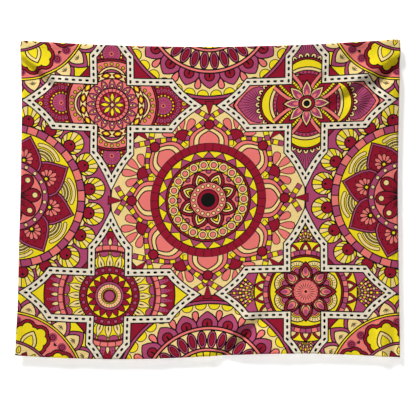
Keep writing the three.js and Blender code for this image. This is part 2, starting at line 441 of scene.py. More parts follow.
def garden_mandala(centre):
    """Lobed blossoms in a coral ring and sprigged petals round the rim."""
    discs(centre, [(470, "crimson"), (381, "yellow")])
    for turn in around(28):
        lined(placed(leaf(284, 378, 88, 0.5, 0.95, 8), centre, turn), "plum")
    for turn in around(28):
        lined(placed(leaf(286, 356, 64, 0.45, 0.8, 8), centre, turn), "cream")
        for spread in (-50, -24, 0, 24, 50):
            sprig = placed(leaf(0, 21, 3.6, 1, 1, 2), 333, unit(180 + spread))
            dye(placed(sprig, centre, turn), "ink")
    discs(centre, [(309, "yellow"), (300, "coral")])
    for turn in around(8):
        for side in (1, -1):
            at = 272 + side * 27j
            for radius, colour in ((17.5, "plum"), (12.5, "crimson"), (8, "plum"), (4, "crimson")):
                lined(placed(circle(radius, 12), centre + at * turn), colour, 1.4)
        for spread in (-34, 0, 34):
            tick = placed(leaf(0, 17, 6, 1, 0.8, 2), 252, unit(spread))
            dye(placed(tick, centre, turn), "ink")
    for turn in around(8, 22.5):
        margins = ((BLOSSOM_RIM + INK_LINE / 2, "ink"), (BLOSSOM_RIM - INK_LINE / 2, "crimson"),
                   (INK_LINE / 2, "ink"), (-INK_LINE / 2, "yellow"))
        for margin, colour in margins:
            for swing, reach in BLOSSOM_LOBES:
                lobe = centre + (220 + reach * unit(swing)) * turn
                dye(placed(circle(22 + margin, 14), lobe), colour)
        dye(placed(circle(34, 16), centre + 220 * turn), "yellow")
        lined(placed(leaf(176, 252, 64, 0.5, 0.9, 8), centre, turn), "cream")
        lined(placed(leaf(176, 234, 40, 0.5, 0.9, 6), centre, turn), "yellow", FINE_LINE)
    discs(centre, [(193, "plum"), (184, "cream")])
    for turn in around(16, 8):
        lined(placed(leaf(146, 176, 18, 0.5, 0.9), centre, turn), "yellow", FINE_LINE)
        dye(placed(leaf(152, 164, 5, 0.5, 1, 3), centre, turn), "plum")
    for turn in around(16, 19.25):
        lined(placed(leaf(112, 164, 34, 0.6, 1.0), centre, turn), "crimson", FINE_LINE)
    discs(centre, [(139, "crimson")])


# Each medallion is a cross. Its sizes are taken at the middle of its band.
ARM_X = 74.0                 # half widths of the upright arm and the level one
ARM_Y = 95.0
ELBOW_X = 237.0              # where the arms begin to narrow
ELBOW_Y = 195.0
TIP_X = 340.0
TIP_Y = 314.0
TIP_DIP = 9.0                # how far the band's line dips in between an elbow and a tip
EDGE = BAND_HALF + INK_LINE
BAND_MITER = 3.0
DASH_LENGTH = 15.0
DASH_WIDTH = 9.0


def hollow_curve(start, end, dip, steps=4):
    """A shallow curve that dips towards the cross's middle, without its end point."""
    bend = (start + end) / 2
    control = bend - bend / abs(bend) * 2 * dip
    shares = [k / steps for k in range(steps)]
    return [(1 - s) ** 2 * start + 2 * s * (1 - s) * control + s * s * end for s in shares]


def cross_outline():
    """The middle line of a medallion's band, as a closed outline about its centre."""
    quarter = hollow_curve(complex(TIP_X, 0), complex(ELBOW_X, ARM_Y), TIP_DIP)
    quarter += [complex(ELBOW_X, ARM_Y), complex(ARM_X, ARM_Y)]
    quarter += hollow_curve(complex(ARM_X, ELBOW_Y), complex(0, TIP_Y), TIP_DIP)
    quarter += [complex(0, TIP_Y)]
    left = [complex(-p.real, p.imag) for p in reversed(quarter[:-1])]
    upper = quarter + left
    lower = [p.conjugate() for p in reversed(upper[1:-1])]
    return upper + lower


def medallion_places():
    """The four centres, from the top left in rows."""
    return [complex(x * REPEAT_X / 2, y * REPEAT_Y / 2) for y in (1, -1) for x in (-1, 1)]


def dash():
    """One dark dash along +x, with cut corners."""
    corner = DASH_WIDTH * 0.3
    x, y = DASH_LENGTH / 2, DASH_WIDTH / 2
    quarter = [complex(x, y - corner), complex(x - corner, y)]
    right = [p.conjugate() for p in reversed(quarter)]
    return right + quarter + [-p for p in right] + [-p for p in quarter]


def band(centre):
    """The cream lattice band with its row of dark dashes."""
    outline = cross_outline()
    for margin, colour in ((EDGE + 1, "ink"), (BAND_HALF, "band"), (-BAND_HALF, "ink")):
        dye(placed(grown(outline, margin, BAND_MITER), centre), colour)
    right_tip = complex(TIP_X, 0)
    right_elbow = complex(ELBOW_X, ARM_Y)
    corner = complex(ARM_X, ARM_Y)
    top_elbow = complex(ARM_X, ELBOW_Y)
    top_tip = complex(0, TIP_Y)
    runs = ((hollow_curve(right_tip, right_elbow, TIP_DIP, 8) + [right_elbow], 5),
            ([right_elbow, corner], 6),
            ([corner, top_elbow], 4),
            (hollow_curve(top_elbow, top_tip, TIP_DIP, 8) + [top_tip], 5))
    marks = []               # a quarter's dashes, as (place, direction)
    for path, count in runs:
        steps = spaced(path, count)
        for k in range(count):
            marks.append((steps[k], steps[k + 1] - steps[max(k - 1, 0)]))
    marks[0] = (right_tip - 6, 1)
    marks.append((top_tip - 8j, 1j))
    for at, ahead in marks:
        shape = placed(dash(), 0, ahead / abs(ahead))
        for flip_x in (1, -1):
            for flip_y in (1, -1):
                if (flip_x < 0 and at.real == 0) or (flip_y < 0 and at.imag == 0):
                    continue
                piece = [complex((at + p).real * flip_x, (at + p).imag * flip_y) for p in shape]
                dye(placed(piece, centre), "ink")


def spoke_medallion(centre):
    """A jewelled wheel with crescents and small dotted wheels in the four arms."""
    dye(placed(circle(400, 24), centre), "crimson")
    for turn in around(4):
        at = centre + 206 * turn
        rows = ((62, 14, 8, "plum"), (84, 18, 7.5, "yellow"),
                (106, 22, 7, "yellow"), (126, 26, 6.5, "cream"))
        for radius, count, size, ring in rows:
            for step in around(count, 6):
                between = step * unit(180 / count)
                dye(placed(leaf(radius - 10, radius + 11, 9, 1, 1, 2), at, between), "plum")
                dye(placed(circle(2.6, 5), at + radius * between), "ink")
                dye(placed(circle(size + 2.4, 8), at + radius * step), "ink")
                dye(placed(circle(size, 8), at + radius * step), ring)
                dye(placed(circle(size * 0.55, 6), at + radius * step), "crimson")
        discs(at, [(46, "crimson"), (37, "plum")], FINE_LINE)
        spots(at, 41, 18, 4.2, ((1, "yellow"),), line=1.4, corners=6)
        for step in around(16):
            dye(placed(leaf(11, 35, 3, 0.8, 0.6, 2), at, step), "crimson")
        discs(at, [(10, "coral"), (5, "crimson")], 1.4)
    discs(centre, [(186, "crimson"), (177, "coral")])
    for turn in around(4):
        at = centre + 92 * turn
        discs(at, [(62, "cream"), (51, "plum")])
        for k in range(-4, 5):
            flower = at + 73 * turn * unit(19 * k)
            lined(placed(circle(6.5, 8), flower), "yellow", FINE_LINE)
            dye(placed(circle(2.5, 6), flower), "crimson")
    discs(centre, [(131, "cream")])
    for turn in around(16, 11.25):
        eye = [complex(119 + p.imag, p.real) for p in leaf(-20, 20, 24, 1, 1, 5)]
        lined(placed(eye, centre, turn), "crimson", FINE_LINE)
        seed = [complex(119 + p.imag, p.real) for p in leaf(-12, 12, 13, 1, 1, 4)]
        dye(placed(seed, centre, turn), "yellow")
    discs(centre, [(106, "coral")])
    for turn in around(16):
        lined(placed(leaf(62, 104, 26, 0.5, 0.8), centre, turn), "plum", FINE_LINE)
    spots(centre, 76, 16, 5.5, ((1, "cream"),))
    spots(centre, 89, 16, 4, ((1, "yellow"),), line=1.2, corners=6)
    discs(centre, [(67, "coral")])
    for turn in around(24):
        dye(placed(leaf(52, 66, 5, 0.5, 0.5, 3), centre, turn), "crimson")
    discs(centre, [(52, "crimson")], FINE_LINE)
    for turn in around(8, 22.5):
        dye(placed(leaf(6, 50, 7, 0.8, 0.8, 3), centre, turn), "plum")
    for turn in around(8):
        lined(placed(leaf(12, 48, 17, 1, 1, 4), centre, turn), "yellow", FINE_LINE)
    discs(centre, [(8, "cream")], FINE_LINE)


def star_medallion(centre):
    """A pointed star over beaded arcs, with crescents and rayed fans in the arms."""
    dye(placed(circle(400, 24), centre), "coral")
    for turn in around(4):
        tip = 286 if abs(turn.real) > 0.5 else 300
        lined(placed(leaf(128, tip + 12, 186, 0.7, 0.95, 9), centre, turn), "crimson", FINE_LINE)
        lined(placed(leaf(128, tip + 8, 178, 0.7, 0.95, 9), centre, turn), "coral", FINE_LINE)
        lined(placed(leaf(130, tip - 6, 150, 0.7, 0.95, 9), centre, turn), "plum", FINE_LINE)
        for k in range(-7, 8):
            ray = placed(leaf(0, 118 - 4.5 * abs(k), 3, 0.6, 0.6, 2), 178, unit(k * 9))
            dye(placed(ray, centre, turn), "ink")
        for k in range(-4, 5):
            loop = placed(leaf(80, 116, 21, 0.9, 0.5, 5), 92, unit(k * 14.5))
            lined(placed(loop, centre, turn), "cream", FINE_LINE)
            seed = placed(leaf(92, 108, 9, 0.8, 0.5, 4), 92, unit(k * 14.5))
            dye(placed(seed, centre, turn), "ink")
    for turn in around(4):
        discs(centre + 84 * turn, [(106, "crimson")])
        discs(centre + 92 * turn, [(90, "yellow")])
    for turn in around(4):
        discs(centre + 29 * turn, [(121, "cream"), (107, "plum")])
        spots(centre + 29 * turn, 100, 40, 4.5, ((1, "crimson"),), line=0, corners=6)
    for turn in around(4):
        discs(centre + 29 * turn, [(93, "crimson")], FINE_LINE)
    for turn in around(4, 45):
        lined(placed(leaf(38, 172, 74, 1.0, 0.6, 7), centre, turn), "crimson")
        for side in (1, -1):
            curve = [52 * unit(24 * side), 84 * unit(21 * side), 116 * unit(15.5 * side),
                     150 * unit(11 * side)]
            stripe(placed(curve, centre, turn * unit(6 * side)), 15, "coral")
            inner = [50 * unit(19 * side), 82 * unit(16.5 * side), 112 * unit(12 * side),
                     146 * unit(8 * side)]
            bead_string(placed(inner, centre, turn), 12, 9, ("yellow",))
    for layer_start in (45, 0):
        for turn in around(4, layer_start):
            lined(placed(leaf(20, 96, 40, 0.9, 1.25, 6), centre, turn), "cream")
            dye(placed(leaf(24, 84, 29, 0.9, 1.25, 5), centre, turn), "plum")
            for k in range(5):
                dye(placed(circle(2.2, 6), centre + (46 + 7.5 * k) * turn), "ink")
            dye(placed(leaf(28, 56, 13, 0.6, 1, 5), centre, turn), "coral")
    discs(centre, [(32, "crimson"), (21, "cream"), (11, "ink")])


def ray_medallion(centre):
    """A toothed sun in a beaded ring, ringed with flames, scallops and bricks."""
    dye(placed(circle(400, 24), centre), "yellow")
    discs(centre, [(262, "crimson")])
    for turn in around(36, 5):
        dye(placed(wedge(205, 258, 3.2), centre, turn), "plum")
        for k in range(4):
            dye(placed(circle(2.4, 6), centre + (222 + 11 * k) * turn), "ink")
    for turn in around(36):
        lined(placed(leaf(204, 236, 17, 0.5, 1.0, 4), centre, turn), "cream", FINE_LINE)
    blocks(centre, 186, 206, 40, ("coral",), line=FINE_LINE)
    discs(centre, [(186, "crimson"), (180, "yellow")], FINE_LINE)
    for turn in around(24, 7.5):
        half = [180 + 21 * unit(90 + 180 * k / 7) for k in range(8)]
        lined(placed(half, centre, turn), "plum", FINE_LINE)
    for turn in around(24):
        lined(placed(leaf(104, 170, 27, 0.7, 1.0, 6), centre, turn), "cream", FINE_LINE)
        dye(placed(leaf(122, 146, 6, 0.7, 1, 4), centre, turn), "ink")
    discs(centre, [(120, "crimson")])
    spots(centre, 106, 24, 8.5, ((1, "plum"),), line=FINE_LINE)
    spots(centre, 106, 24, 2.2, ((1, "crimson"),), start=7.5, line=0, corners=6)
    discs(centre, [(91, "yellow")])
    for turn in around(16):
        lined(placed(leaf(48, 88, 25, 0.6, 0.9, 5), centre, turn), "crimson", FINE_LINE)
    discs(centre, [(58, "plum")], FINE_LINE)
    discs(centre, [(48, "cream")], FINE_LINE)
    for turn in around(24):
        dye(placed(leaf(33, 46, 5.5, 0.5, 0.5, 3), centre, turn), "coral")
    discs(centre, [(32, "yellow"), (27, "crimson"), (22, "plum")], FINE_LINE)


def lotus_medallion(centre):
    """A fluted coral disc in eight layered lotus petals, with rayed fans between them."""
    dye(placed(circle(400, 24), centre), "plum")
    for turn in around(4):
        for k in range(-4, 5):
            path = [186 + reach * unit(11 * k) for reach in (10, 70, 130)]
            beads = ("cream", "coral") if k % 2 else ("plum", "yellow")
            bead_string(placed(path, centre, turn), 11, 10, beads)
    discs(centre, [(206, "yellow")])
    for turn in around(22, 8):
        lined(placed(leaf(150, 206, 46, 0.5, 0.9, 6), centre, turn), "crimson", FINE_LINE)
        lined(placed(leaf(156, 194, 25, 0.5, 0.9, 5), centre, turn), "cream", FINE_LINE)
    blocks(centre, 151, 171, 44, ("plum", "coral", "plum"), line=FINE_LINE)
    discs(centre, [(151, "crimson"), (143, "yellow")])
    for turn in around(8, 22.5):
        lined(placed(circle(44, 16), centre + 88 * turn), "cream")
        for k in range(-5, 6):
            ray = placed(leaf(24, 43, 2.6, 0.5, 0.5, 2), 88, unit(k * 17))
            dye(placed(ray, centre, turn), "ink")
        discs(centre + 88 * turn, [(26, "yellow"), (20, "coral"), (13, "plum")], FINE_LINE)
    discs(centre, [(70, "yellow")], FINE_LINE)
    for turn in around(8):
        lined(placed(leaf(46, 122, 54, 0.55, 0.9, 8), centre, turn), "crimson")
        lined(placed(leaf(52, 106, 38, 0.5, 0.8, 7), centre, turn), "cream", FINE_LINE)
        lined(placed(leaf(60, 104, 28, 0.5, 0.8, 6), centre, turn), "coral", FINE_LINE)
        dye(placed(leaf(72, 102, 15, 0.5, 0.8, 5), centre, turn), "plum")
    for turn in around(20):
        dye(placed(circle(10.5, 8), centre + 50 * turn), "ink")
    for turn in around(20):
        dye(placed(circle(9, 8), centre + 49 * turn), "crimson")
    discs(centre, [(50, "coral")], FINE_LINE)
    for turn in around(20):
        dye(placed(leaf(10, 45, 3, 0.5, 0.5, 2), centre, turn), "ink")
    spots(centre, 45, 20, 3.2, ((1, "coral"),), start=9, line=1.2, corners=6)
    dye(placed(circle(6, 8), centre), "ink")


def draw_print():
    """The whole cloth: mandalas on a lattice, medallions between them."""
    places = medallion_places()
    for at in places:
        outer_edge = placed(grown(cross_outline(), EDGE, BAND_MITER), at)
        zone_layers.append((placed(outer_edge, PRINT_DRIFT), 0))
    for k, at in enumerate(places):
        inner_edge = placed(grown(cross_outline(), -EDGE, BAND_MITER), at)
        zone_layers.append((placed(inner_edge, PRINT_DRIFT), k + 1))
    dye(circle(2000, 4), "crimson")
    for x in (-1, 1):
        for y in (-1, 1):
            garden_mandala(complex(x * REPEAT_X, y * REPEAT_Y))
    for y in (-1, 1):
        plume_mandala(complex(0, y * REPEAT_Y))
    for x in (-1, 1):
        flower_mandala(complex(x * REPEAT_X, 0))
    sun_mandala(0j)
    keep_as("field")
    medallions = (spoke_medallion, star_medallion, ray_medallion, lotus_medallion)
    for k, (at, medallion) in enumerate(zip(places, medallions)):
        medallion(at)
        keep_as("cross%d" % k)
        band(at)
        keep_as("band")


# ---- The hanging surface ----

HUNG_WIDTH = 1506.0          # top corner to top corner
HUNG_HEIGHT = 1255.0
CORNER_RISE = 12.5           # the top corners over the pegs
TOP_TILT = 2.5               # the right top corner over the middle of the two
BOTTOM_TILT = 4.0            # the left bottom corner over the middle of the two
TOP_SAG = 29.0               # droop of the free top edge between the pegs
BOTTOM_SWING = 13.0          # the bottom edge waves down on the left and up on the right
LEFT_BOW = (0, 6, 5, 1, -5, -10, -20)
RIGHT_BOW = (0, -5, -9, -11, -8, -5, -2)
CORNER_SLACK = 3.5           # how far the hem's own bulk draws the tip of each top corner in
CORNER_SLACK_REACH = 13.0
FOLD_DROP = 625.0            # the cloth folds in half this far below the pegs

# Where the cloth's faces stand, from the solids that hold them
cloth_low, cloth_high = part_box("printed_cloth_upper")
FRONT_Y = cloth_low.y / MM
REVERSE_Y = cloth_high.y / MM

# Soft folds as (start, end, height towards the viewer, half width), mm on the flat cloth
FOLDS = (
    ((-772, 600), (-575, 440), 9.0, 21),
    ((-772, 562), (-600, 416), -13.0, 22),
    ((-598, 480), (-592, 370), 6.0, 17),
    ((-690, 650), (-420, 400), -4.0, 30),
    ((-765, 520), (-640, 180), 4.0, 32),
    ((772, 590), (488, 424), 9.5, 21),
    ((772, 550), (505, 384), -14.0, 22),
    ((664, 505), (585, 362), 6.5, 18),
    ((704, 492), (616, 344), -8.0, 20),
    ((716, 650), (700, 420), 5.0, 15),
    ((690, 650), (400, 470), -4.0, 30),
    ((764, 520), (660, 140), 4.0, 32),
    ((28, -608), (190, -452), 9.0, 20),
    ((62, -626), (224, -482), -13.0, 22),
    ((300, -650), (330, -500), 4.5, 19),
    ((362, -650), (372, -560), 4.5, 18),
    ((-200, -650), (-190, -540), 3.5, 36),
    ((-560, -650), (-540, -480), 4.0, 34),
    ((696, -650), (676, -470), 8.0, 19),
    ((742, -650), (735, -500), -6.0, 16),
    ((-250, 650), (-190, 520), 3.0, 40),
    ((230, 650), (180, 530), 3.0, 42),
)
STEEP_SIDE = 1.45            # a fold falls away fast on the side that hangs lower
GENTLE_SIDE = 0.6
DEEPEST = -16.0              # how far in and out the folds may go
PROUDEST = 10.0
PEG_ACROSS = 744.0           # where the pegs hold the flat cloth still
PEG_UP = 622.0
STILL_AT_PEG = 62.0          # how far round each peg the folds die down
STILL_AT_FOLD = 45.0         # and on each side of the fold line


def bow(stations, share):
    """Sideways drift of a side edge: a smooth line through its stations, top to bottom."""
    values = np.array(stations, float)
    last = len(values) - 1
    place = np.clip(share, 0, 1) * last
    k = np.minimum(place.astype(int), last - 1)
    t = place - k
    p0, p1 = values[np.maximum(k - 1, 0)], values[k]
    p2, p3 = values[k + 1], values[np.minimum(k + 2, last)]
    lean1, lean2 = (p2 - p0) / 2, (p3 - p1) / 2
    cubic = 2 * p1 - 2 * p2 + lean1 + lean2
    square = 3 * p2 - 3 * p1 - 2 * lean1 - lean2
    return ((cubic * t + square) * t + lean1) * t + p1


def swell(spots_mm):
    """How far the folds carry each place towards the viewer. Still at the pegs and at the fold line."""
    # All over there are slight waves: broad ones of about 740 mm, and slanting ones of about 255 mm.
    total = 1.1 * np.sin(spots_mm.real / 118 + 0.6) * np.cos(spots_mm.imag / 143)
    total += 0.7 * np.sin(spots_mm.real / 51 + spots_mm.imag / 67)
    for start, end, height, half_width in FOLDS:
        a, b = complex(*start), complex(*end)
        local = (spots_mm - a) / (b - a)
        along = local.real
        off = local.imag * abs(b - a) / half_width
        lower_side = off * (b - a).real * height < 0
        off *= np.where(lower_side, STEEP_SIDE, GENTLE_SIDE)
        fade = np.clip(1.35 - along, 0, 1) * np.clip((along + 0.25) * 4, 0, 1)
        total += height * np.exp(-off ** 2) * fade ** 2 * (3 - 2 * fade)
    for side in (-1, 1):
        reach = abs(spots_mm - complex(side * PEG_ACROSS, PEG_UP))
        total *= 1 - np.exp(-(reach / STILL_AT_PEG) ** 2)
    fold_height = HALF_HEIGHT - FOLD_DROP - TOP_SAG / 2
    total *= 1 - np.exp(-((spots_mm.imag - fold_height) / STILL_AT_FOLD) ** 2)
    return np.clip(total, DEEPEST, PROUDEST)


def hung(spots_mm, depth):
    """Metres in the room for places on the flat cloth, depth mm being its y before the folds."""
    u = spots_mm.real / CLOTH_WIDTH + 0.5
    v = 0.5 - spots_mm.imag / CLOTH_HEIGHT
    top = CORNER_RISE + TOP_TILT * (2 * u - 1) - 4 * TOP_SAG * u * (1 - u)
    bottom = CORNER_RISE - HUNG_HEIGHT + BOTTOM_TILT * (1 - 2 * u) - BOTTOM_SWING * np.sin(2 * np.pi * u)
    x = (u - 0.5) * HUNG_WIDTH + (1 - u) * bow(LEFT_BOW, v) + u * bow(RIGHT_BOW, v)
    z = top + (bottom - top) * v
    for side in (-1, 1):
        reach = abs(spots_mm - complex(side * HALF_WIDTH, HALF_HEIGHT))
        slack = CORNER_SLACK * np.exp(-(reach / CORNER_SLACK_REACH) ** 2)
        x = x - side * slack
        z = z - slack
    return np.stack([x, depth - swell(spots_mm), z], axis=1) * MM


# ---- The print's shapes, cut into facets of one dye each ----

PRINT_GRID = 10.0            # mm between the spots that let the printed face bend
REVERSE_GRID = 9.0           # the same on the reverse
CHORD_WITHIN = 0.15          # mm that a border may cut through a fold
SHARP_TURN = 0.4             # mm that the cloth leaves its own slope within half a step
SPLIT_ROUNDS = 5             # how often a border may be halved to follow a fold
RIM = 0.02                   # mm from the cloth's edge that counts as on it
JOIN_WITHIN = 0.01           # mm between places that become one
STRAIGHT_WITHIN = 0.12       # mm that a border may be moved to drop a needless corner


def inside(outline, spots_mm):
    """Which of many places lie inside an outline."""
    hit = np.zeros(len(spots_mm), bool)
    across, up = spots_mm.real, spots_mm.imag
    for a, b in zip(outline, outline[1:] + outline[:1]):
        if a.imag == b.imag:
            continue
        crosses_level = (a.imag > up) != (b.imag > up)
        cut = a.real + (up - a.imag) * (b.real - a.real) / (b.imag - a.imag)
        hit ^= crosses_level & (across < cut)
    return hit


def uppermost(spots_mm, layers):
    """For each place, the last of the layers (outline, value) that covers it, or -1."""
    order = np.argsort(spots_mm.real, kind="stable")
    ranked = spots_mm[order]
    found = np.full(len(ranked), -1)
    for outline, value in reversed(layers):
        corners = np.array(outline)
        first = np.searchsorted(ranked.real, corners.real.min())
        last = np.searchsorted(ranked.real, corners.real.max())
        window = ranked[first:last]
        near = (found[first:last] < 0) & (window.imag >= corners.imag.min())
        near &= window.imag <= corners.imag.max()
        picked = np.flatnonzero(near)
        if len(picked):
            hit = inside(outline, window[picked])
            found[first + picked[hit]] = value
    result = np.empty_like(found)
    result[order] = found
    return result


def dyes_at(spots_mm):
    """The dye, as its number in DYES, at each of many places."""
    numbers = {name: k for k, name in enumerate(DYES)}
    zones = uppermost(spots_mm, zone_layers)
    result = np.full(len(spots_mm), numbers["crimson"])
    for k, name in enumerate(ZONES):
        members = np.flatnonzero(zones == k - 1)
        layers = [(outline, numbers[colour]) for outline, colour, where in painting if where == name]
        found = uppermost(spots_mm[members], layers)
        result[members] = np.where(found < 0, result[members], found)
    return result


def on_cloth(spots_mm):
    """Which of many places lie on the cloth."""
    return (abs(spots_mm.real) < HALF_WIDTH) & (abs(spots_mm.imag) < HALF_HEIGHT)


def on_rim(spot_mm):
    """Whether a place lies on the cloth's edge."""
    return abs(spot_mm.real) > HALF_WIDTH - RIM or abs(spot_mm.imag) > HALF_HEIGHT - RIM


def slivers(corners):
    """Which triangles lie flat along one edge of the cloth."""
    beside = [corners.real > HALF_WIDTH - RIM, corners.real < RIM - HALF_WIDTH,
              corners.imag > HALF_HEIGHT - RIM, corners.imag < RIM - HALF_HEIGHT]
    return np.any([side.all(axis=1) for side in beside], axis=0)


def facets(places, edges):
    """Triangles between places that keep the given edges, and each given place's new number."""
    whole_hull = 0
    corners = [Vector((p.real, p.imag)) for p in places]
    made = delaunay_2d_cdt(corners, edges, [], whole_hull, JOIN_WITHIN, True)
    numbers = np.zeros(len(places), int)
    for k, given in enumerate(made[3]):
        numbers[given] = k
    joined, triangles = np.array([complex(*p) for p in made[0]]), np.array(made[2])
    return joined, triangles[~slivers(joined[triangles])], numbers


def grid_places(step):
    """An even grid over the cloth, twice as fine where its folds turn sharply."""
    columns = 2 * round(CLOTH_WIDTH / step)
    rows = 2 * round(CLOTH_HEIGHT / step)
    i, j = (index.ravel() for index in np.mgrid[1:columns, 1:rows])
    fine = CLOTH_WIDTH * (i / columns - 0.5) + 1j * CLOTH_HEIGHT * (j / rows - 0.5)
    turn = sum(swell(fine + way * step / 2) for way in (1, -1, 1j, -1j)) - 4 * swell(fine)
    kept = (i % 2 == 0) & (j % 2 == 0) | (abs(turn) > SHARP_TURN)
    return fine[kept].tolist()


def sides_of(triangles):
    """The three sides of each triangle, all first sides first."""
    return np.concatenate([triangles[:, [0, 1]], triangles[:, [1, 2]], triangles[:, [2, 0]]])


def dye_borders(places, triangles):
    """The edges where the dye changes, and those round the cloth."""
    centres = places[triangles].mean(axis=1)
    dyes = np.full(len(centres), -1)
    kept = on_cloth(centres)
    dyes[kept] = dyes_at(centres[kept])
    ends = np.sort(sides_of(triangles), axis=1)
    beside = np.tile(dyes, 3)
    order = np.lexsort((ends[:, 1], ends[:, 0]))
    ends, beside = ends[order], beside[order]
    shared = (ends[1:] == ends[:-1]).all(axis=1) & (beside[1:] != beside[:-1])
    return ends[1:][shared]


def straightened(places, edges):
    """The edges again, without the corners that lie on a straight run of the same border."""
    beside = {}
    for a, b in edges.tolist():
        beside.setdefault(a, set()).add(b)
        beside.setdefault(b, set()).add(a)
    for k in list(beside):
        if len(beside[k]) != 2:
            continue
        a, b = beside[k]
        chord = places[b] - places[a]
        off = abs(((places[k] - places[a]) * chord.conjugate()).imag) / abs(chord)
        if off < STRAIGHT_WITHIN and b not in beside[a] and not on_rim(places[k]):
            beside[a] = beside[a] - {k} | {b}
            beside[b] = beside[b] - {k} | {a}
            del beside[k]
    return np.array([(a, b) for a in beside for b in beside[a] if a < b])


def following_folds(places, edges):
    """The places and edges again, with each edge that cuts across a fold halved until it follows it."""
    for _ in range(SPLIT_ROUNDS):
        ends = places[edges]
        middles = ends.mean(axis=1)
        chord = (swell(ends[:, 0]) + swell(ends[:, 1])) / 2
        away = abs(swell(middles) - chord) > CHORD_WITHIN
        fresh = len(places) + np.arange(away.sum())
        places = np.concatenate([places, middles[away]])
        edges = np.concatenate([edges[~away], np.stack([edges[away, 0], fresh], axis=1),
                                np.stack([fresh, edges[away, 1]], axis=1)])
    return places, edges


def printed_facets():
    """The printed face as places, triangles and a dye for each triangle."""
    cloth_edge = [complex(x, y) for x, y in ((-HALF_WIDTH, -HALF_HEIGHT), (HALF_WIDTH, -HALF_HEIGHT),
                                             (HALF_WIDTH, HALF_HEIGHT), (-HALF_WIDTH, HALF_HEIGHT))]
    outlines = [outline for outline, _, _ in painting] + [outline for outline, _ in zone_layers]
    shown = [o for o in outlines
             if min(p.real for p in o) < HALF_WIDTH and max(p.real for p in o) > -HALF_WIDTH
             and min(p.imag for p in o) < HALF_HEIGHT and max(p.imag for p in o) > -HALF_HEIGHT]
    places, edges = [], []
    for outline in shown + [cloth_edge]:
        start = len(places)
        places += outline
        edges += [(start + k, start + (k + 1) % len(outline)) for k in range(len(outline))]
    places, triangles, _ = facets(places, edges)
    borders = straightened(places, dye_borders(places, triangles))
    used, ends = np.unique(borders, return_inverse=True)
    places, edges = following_folds(places[used], ends.reshape(-1, 2))
    places, triangles, _ = facets(places.tolist() + grid_places(PRINT_GRID), edges.tolist())
    centres = places[triangles].mean(axis=1)
    triangles = triangles[on_cloth(centres)]
    return places, triangles, dyes_at(places[triangles].mean(axis=1))


# ---- Cloth, hems and stitching as meshes ----

def linear(hex_colour, alpha=1.0):
    """An sRGB hex colour as linear red, green, blue and alpha."""
    shares = [int(hex_colour[k:k + 2], 16) / 255 for k in (1, 3, 5)]
    return tuple(s / 12.92 if s <= 0.04045 else ((s + 0.055) / 1.055) ** 2.4 for s in shares) + (alpha,)


dye_colours = np.array([linear(DYES[name]) for name in DYES])
GROUND = np.array(linear("#E9E2DA"))        # undyed polyester
SHOW_THROUGH = 0.42                         # how much of the print the reverse shows


def mesh_piece(name, places, faces, smooth=True):
    """An object made from numpy arrays or lists of places in metres and faces."""
    mesh = bpy.data.meshes.new(name)
    mesh.from_pydata([tuple(p) for p in places], [], [tuple(f) for f in faces])
    mesh.polygons.foreach_set("use_smooth", [smooth] * len(mesh.polygons))
    mesh.update()
    piece = bpy.data.objects.new(name, mesh)
    scene.collection.objects.link(piece)
    return piece


def store_corner_colours(mesh, colours):
    """The dye of each face's corners, which the polyester's material reads."""
    layer = mesh.color_attributes.new("dye", "FLOAT_COLOR", "CORNER")
    layer.data.foreach_set("color", np.ascontiguousarray(colours, dtype=np.float32).ravel())


def store_flat_places(mesh, spots_mm):
    """The place on the flat cloth, in mm, that the weave follows."""
    layer = mesh.attributes.new("flat", "FLOAT_VECTOR", "POINT")
    flat = np.stack([spots_mm.real, spots_mm.imag, np.zeros(len(spots_mm))], axis=1)
    layer.data.foreach_set("vector", flat.astype(np.float32).ravel())


def corner_vertices(mesh):
    """The number of the place that each face corner stands on."""
    numbers = np.zeros(len(mesh.loops), int)
    mesh.loops.foreach_get("vertex_index", numbers)
    return numbers


# Where each face of the cloth lies on its bake map: (left, foot, width, height)
FRONT_SHARE = (0.005, 0.22, 0.985, 0.775)
REVERSE_SHARE = (0.005, 0.01, 0.24, 0.2)
JUST_INSIDE = 0.999          # the reverse's rim looks up its dye a little inside the edge


def bake_places(spots_mm, share):
    """Where places on the flat cloth lie on its bake map."""
    left, foot, width, height = share
    across = left + (spots_mm.real / CLOTH_WIDTH + 0.5) * width
    return np.stack([across, foot + (0.5 - spots_mm.imag / CLOTH_HEIGHT) * height], axis=1)


def store_bake_map(mesh, corner_uv):
    """The map that the cloth's colours are baked on, from places for each face corner."""
    layer = mesh.uv_layers.new(name="OFBake")
    layer.data.foreach_set("uv", np.ascontiguousarray(corner_uv, dtype=np.float32).ravel())


def rim_of(triangles):
    """The places round the open edge of a sheet of triangles, in order."""
    known = set(map(tuple, sides_of(triangles).tolist()))
    onward = {a: b for a, b in known if (b, a) not in known}
    ring = [next(iter(sorted(onward)))]
    while onward[ring[-1]] != ring[0]:
        ring.append(onward[ring[-1]])
    return np.array(ring)


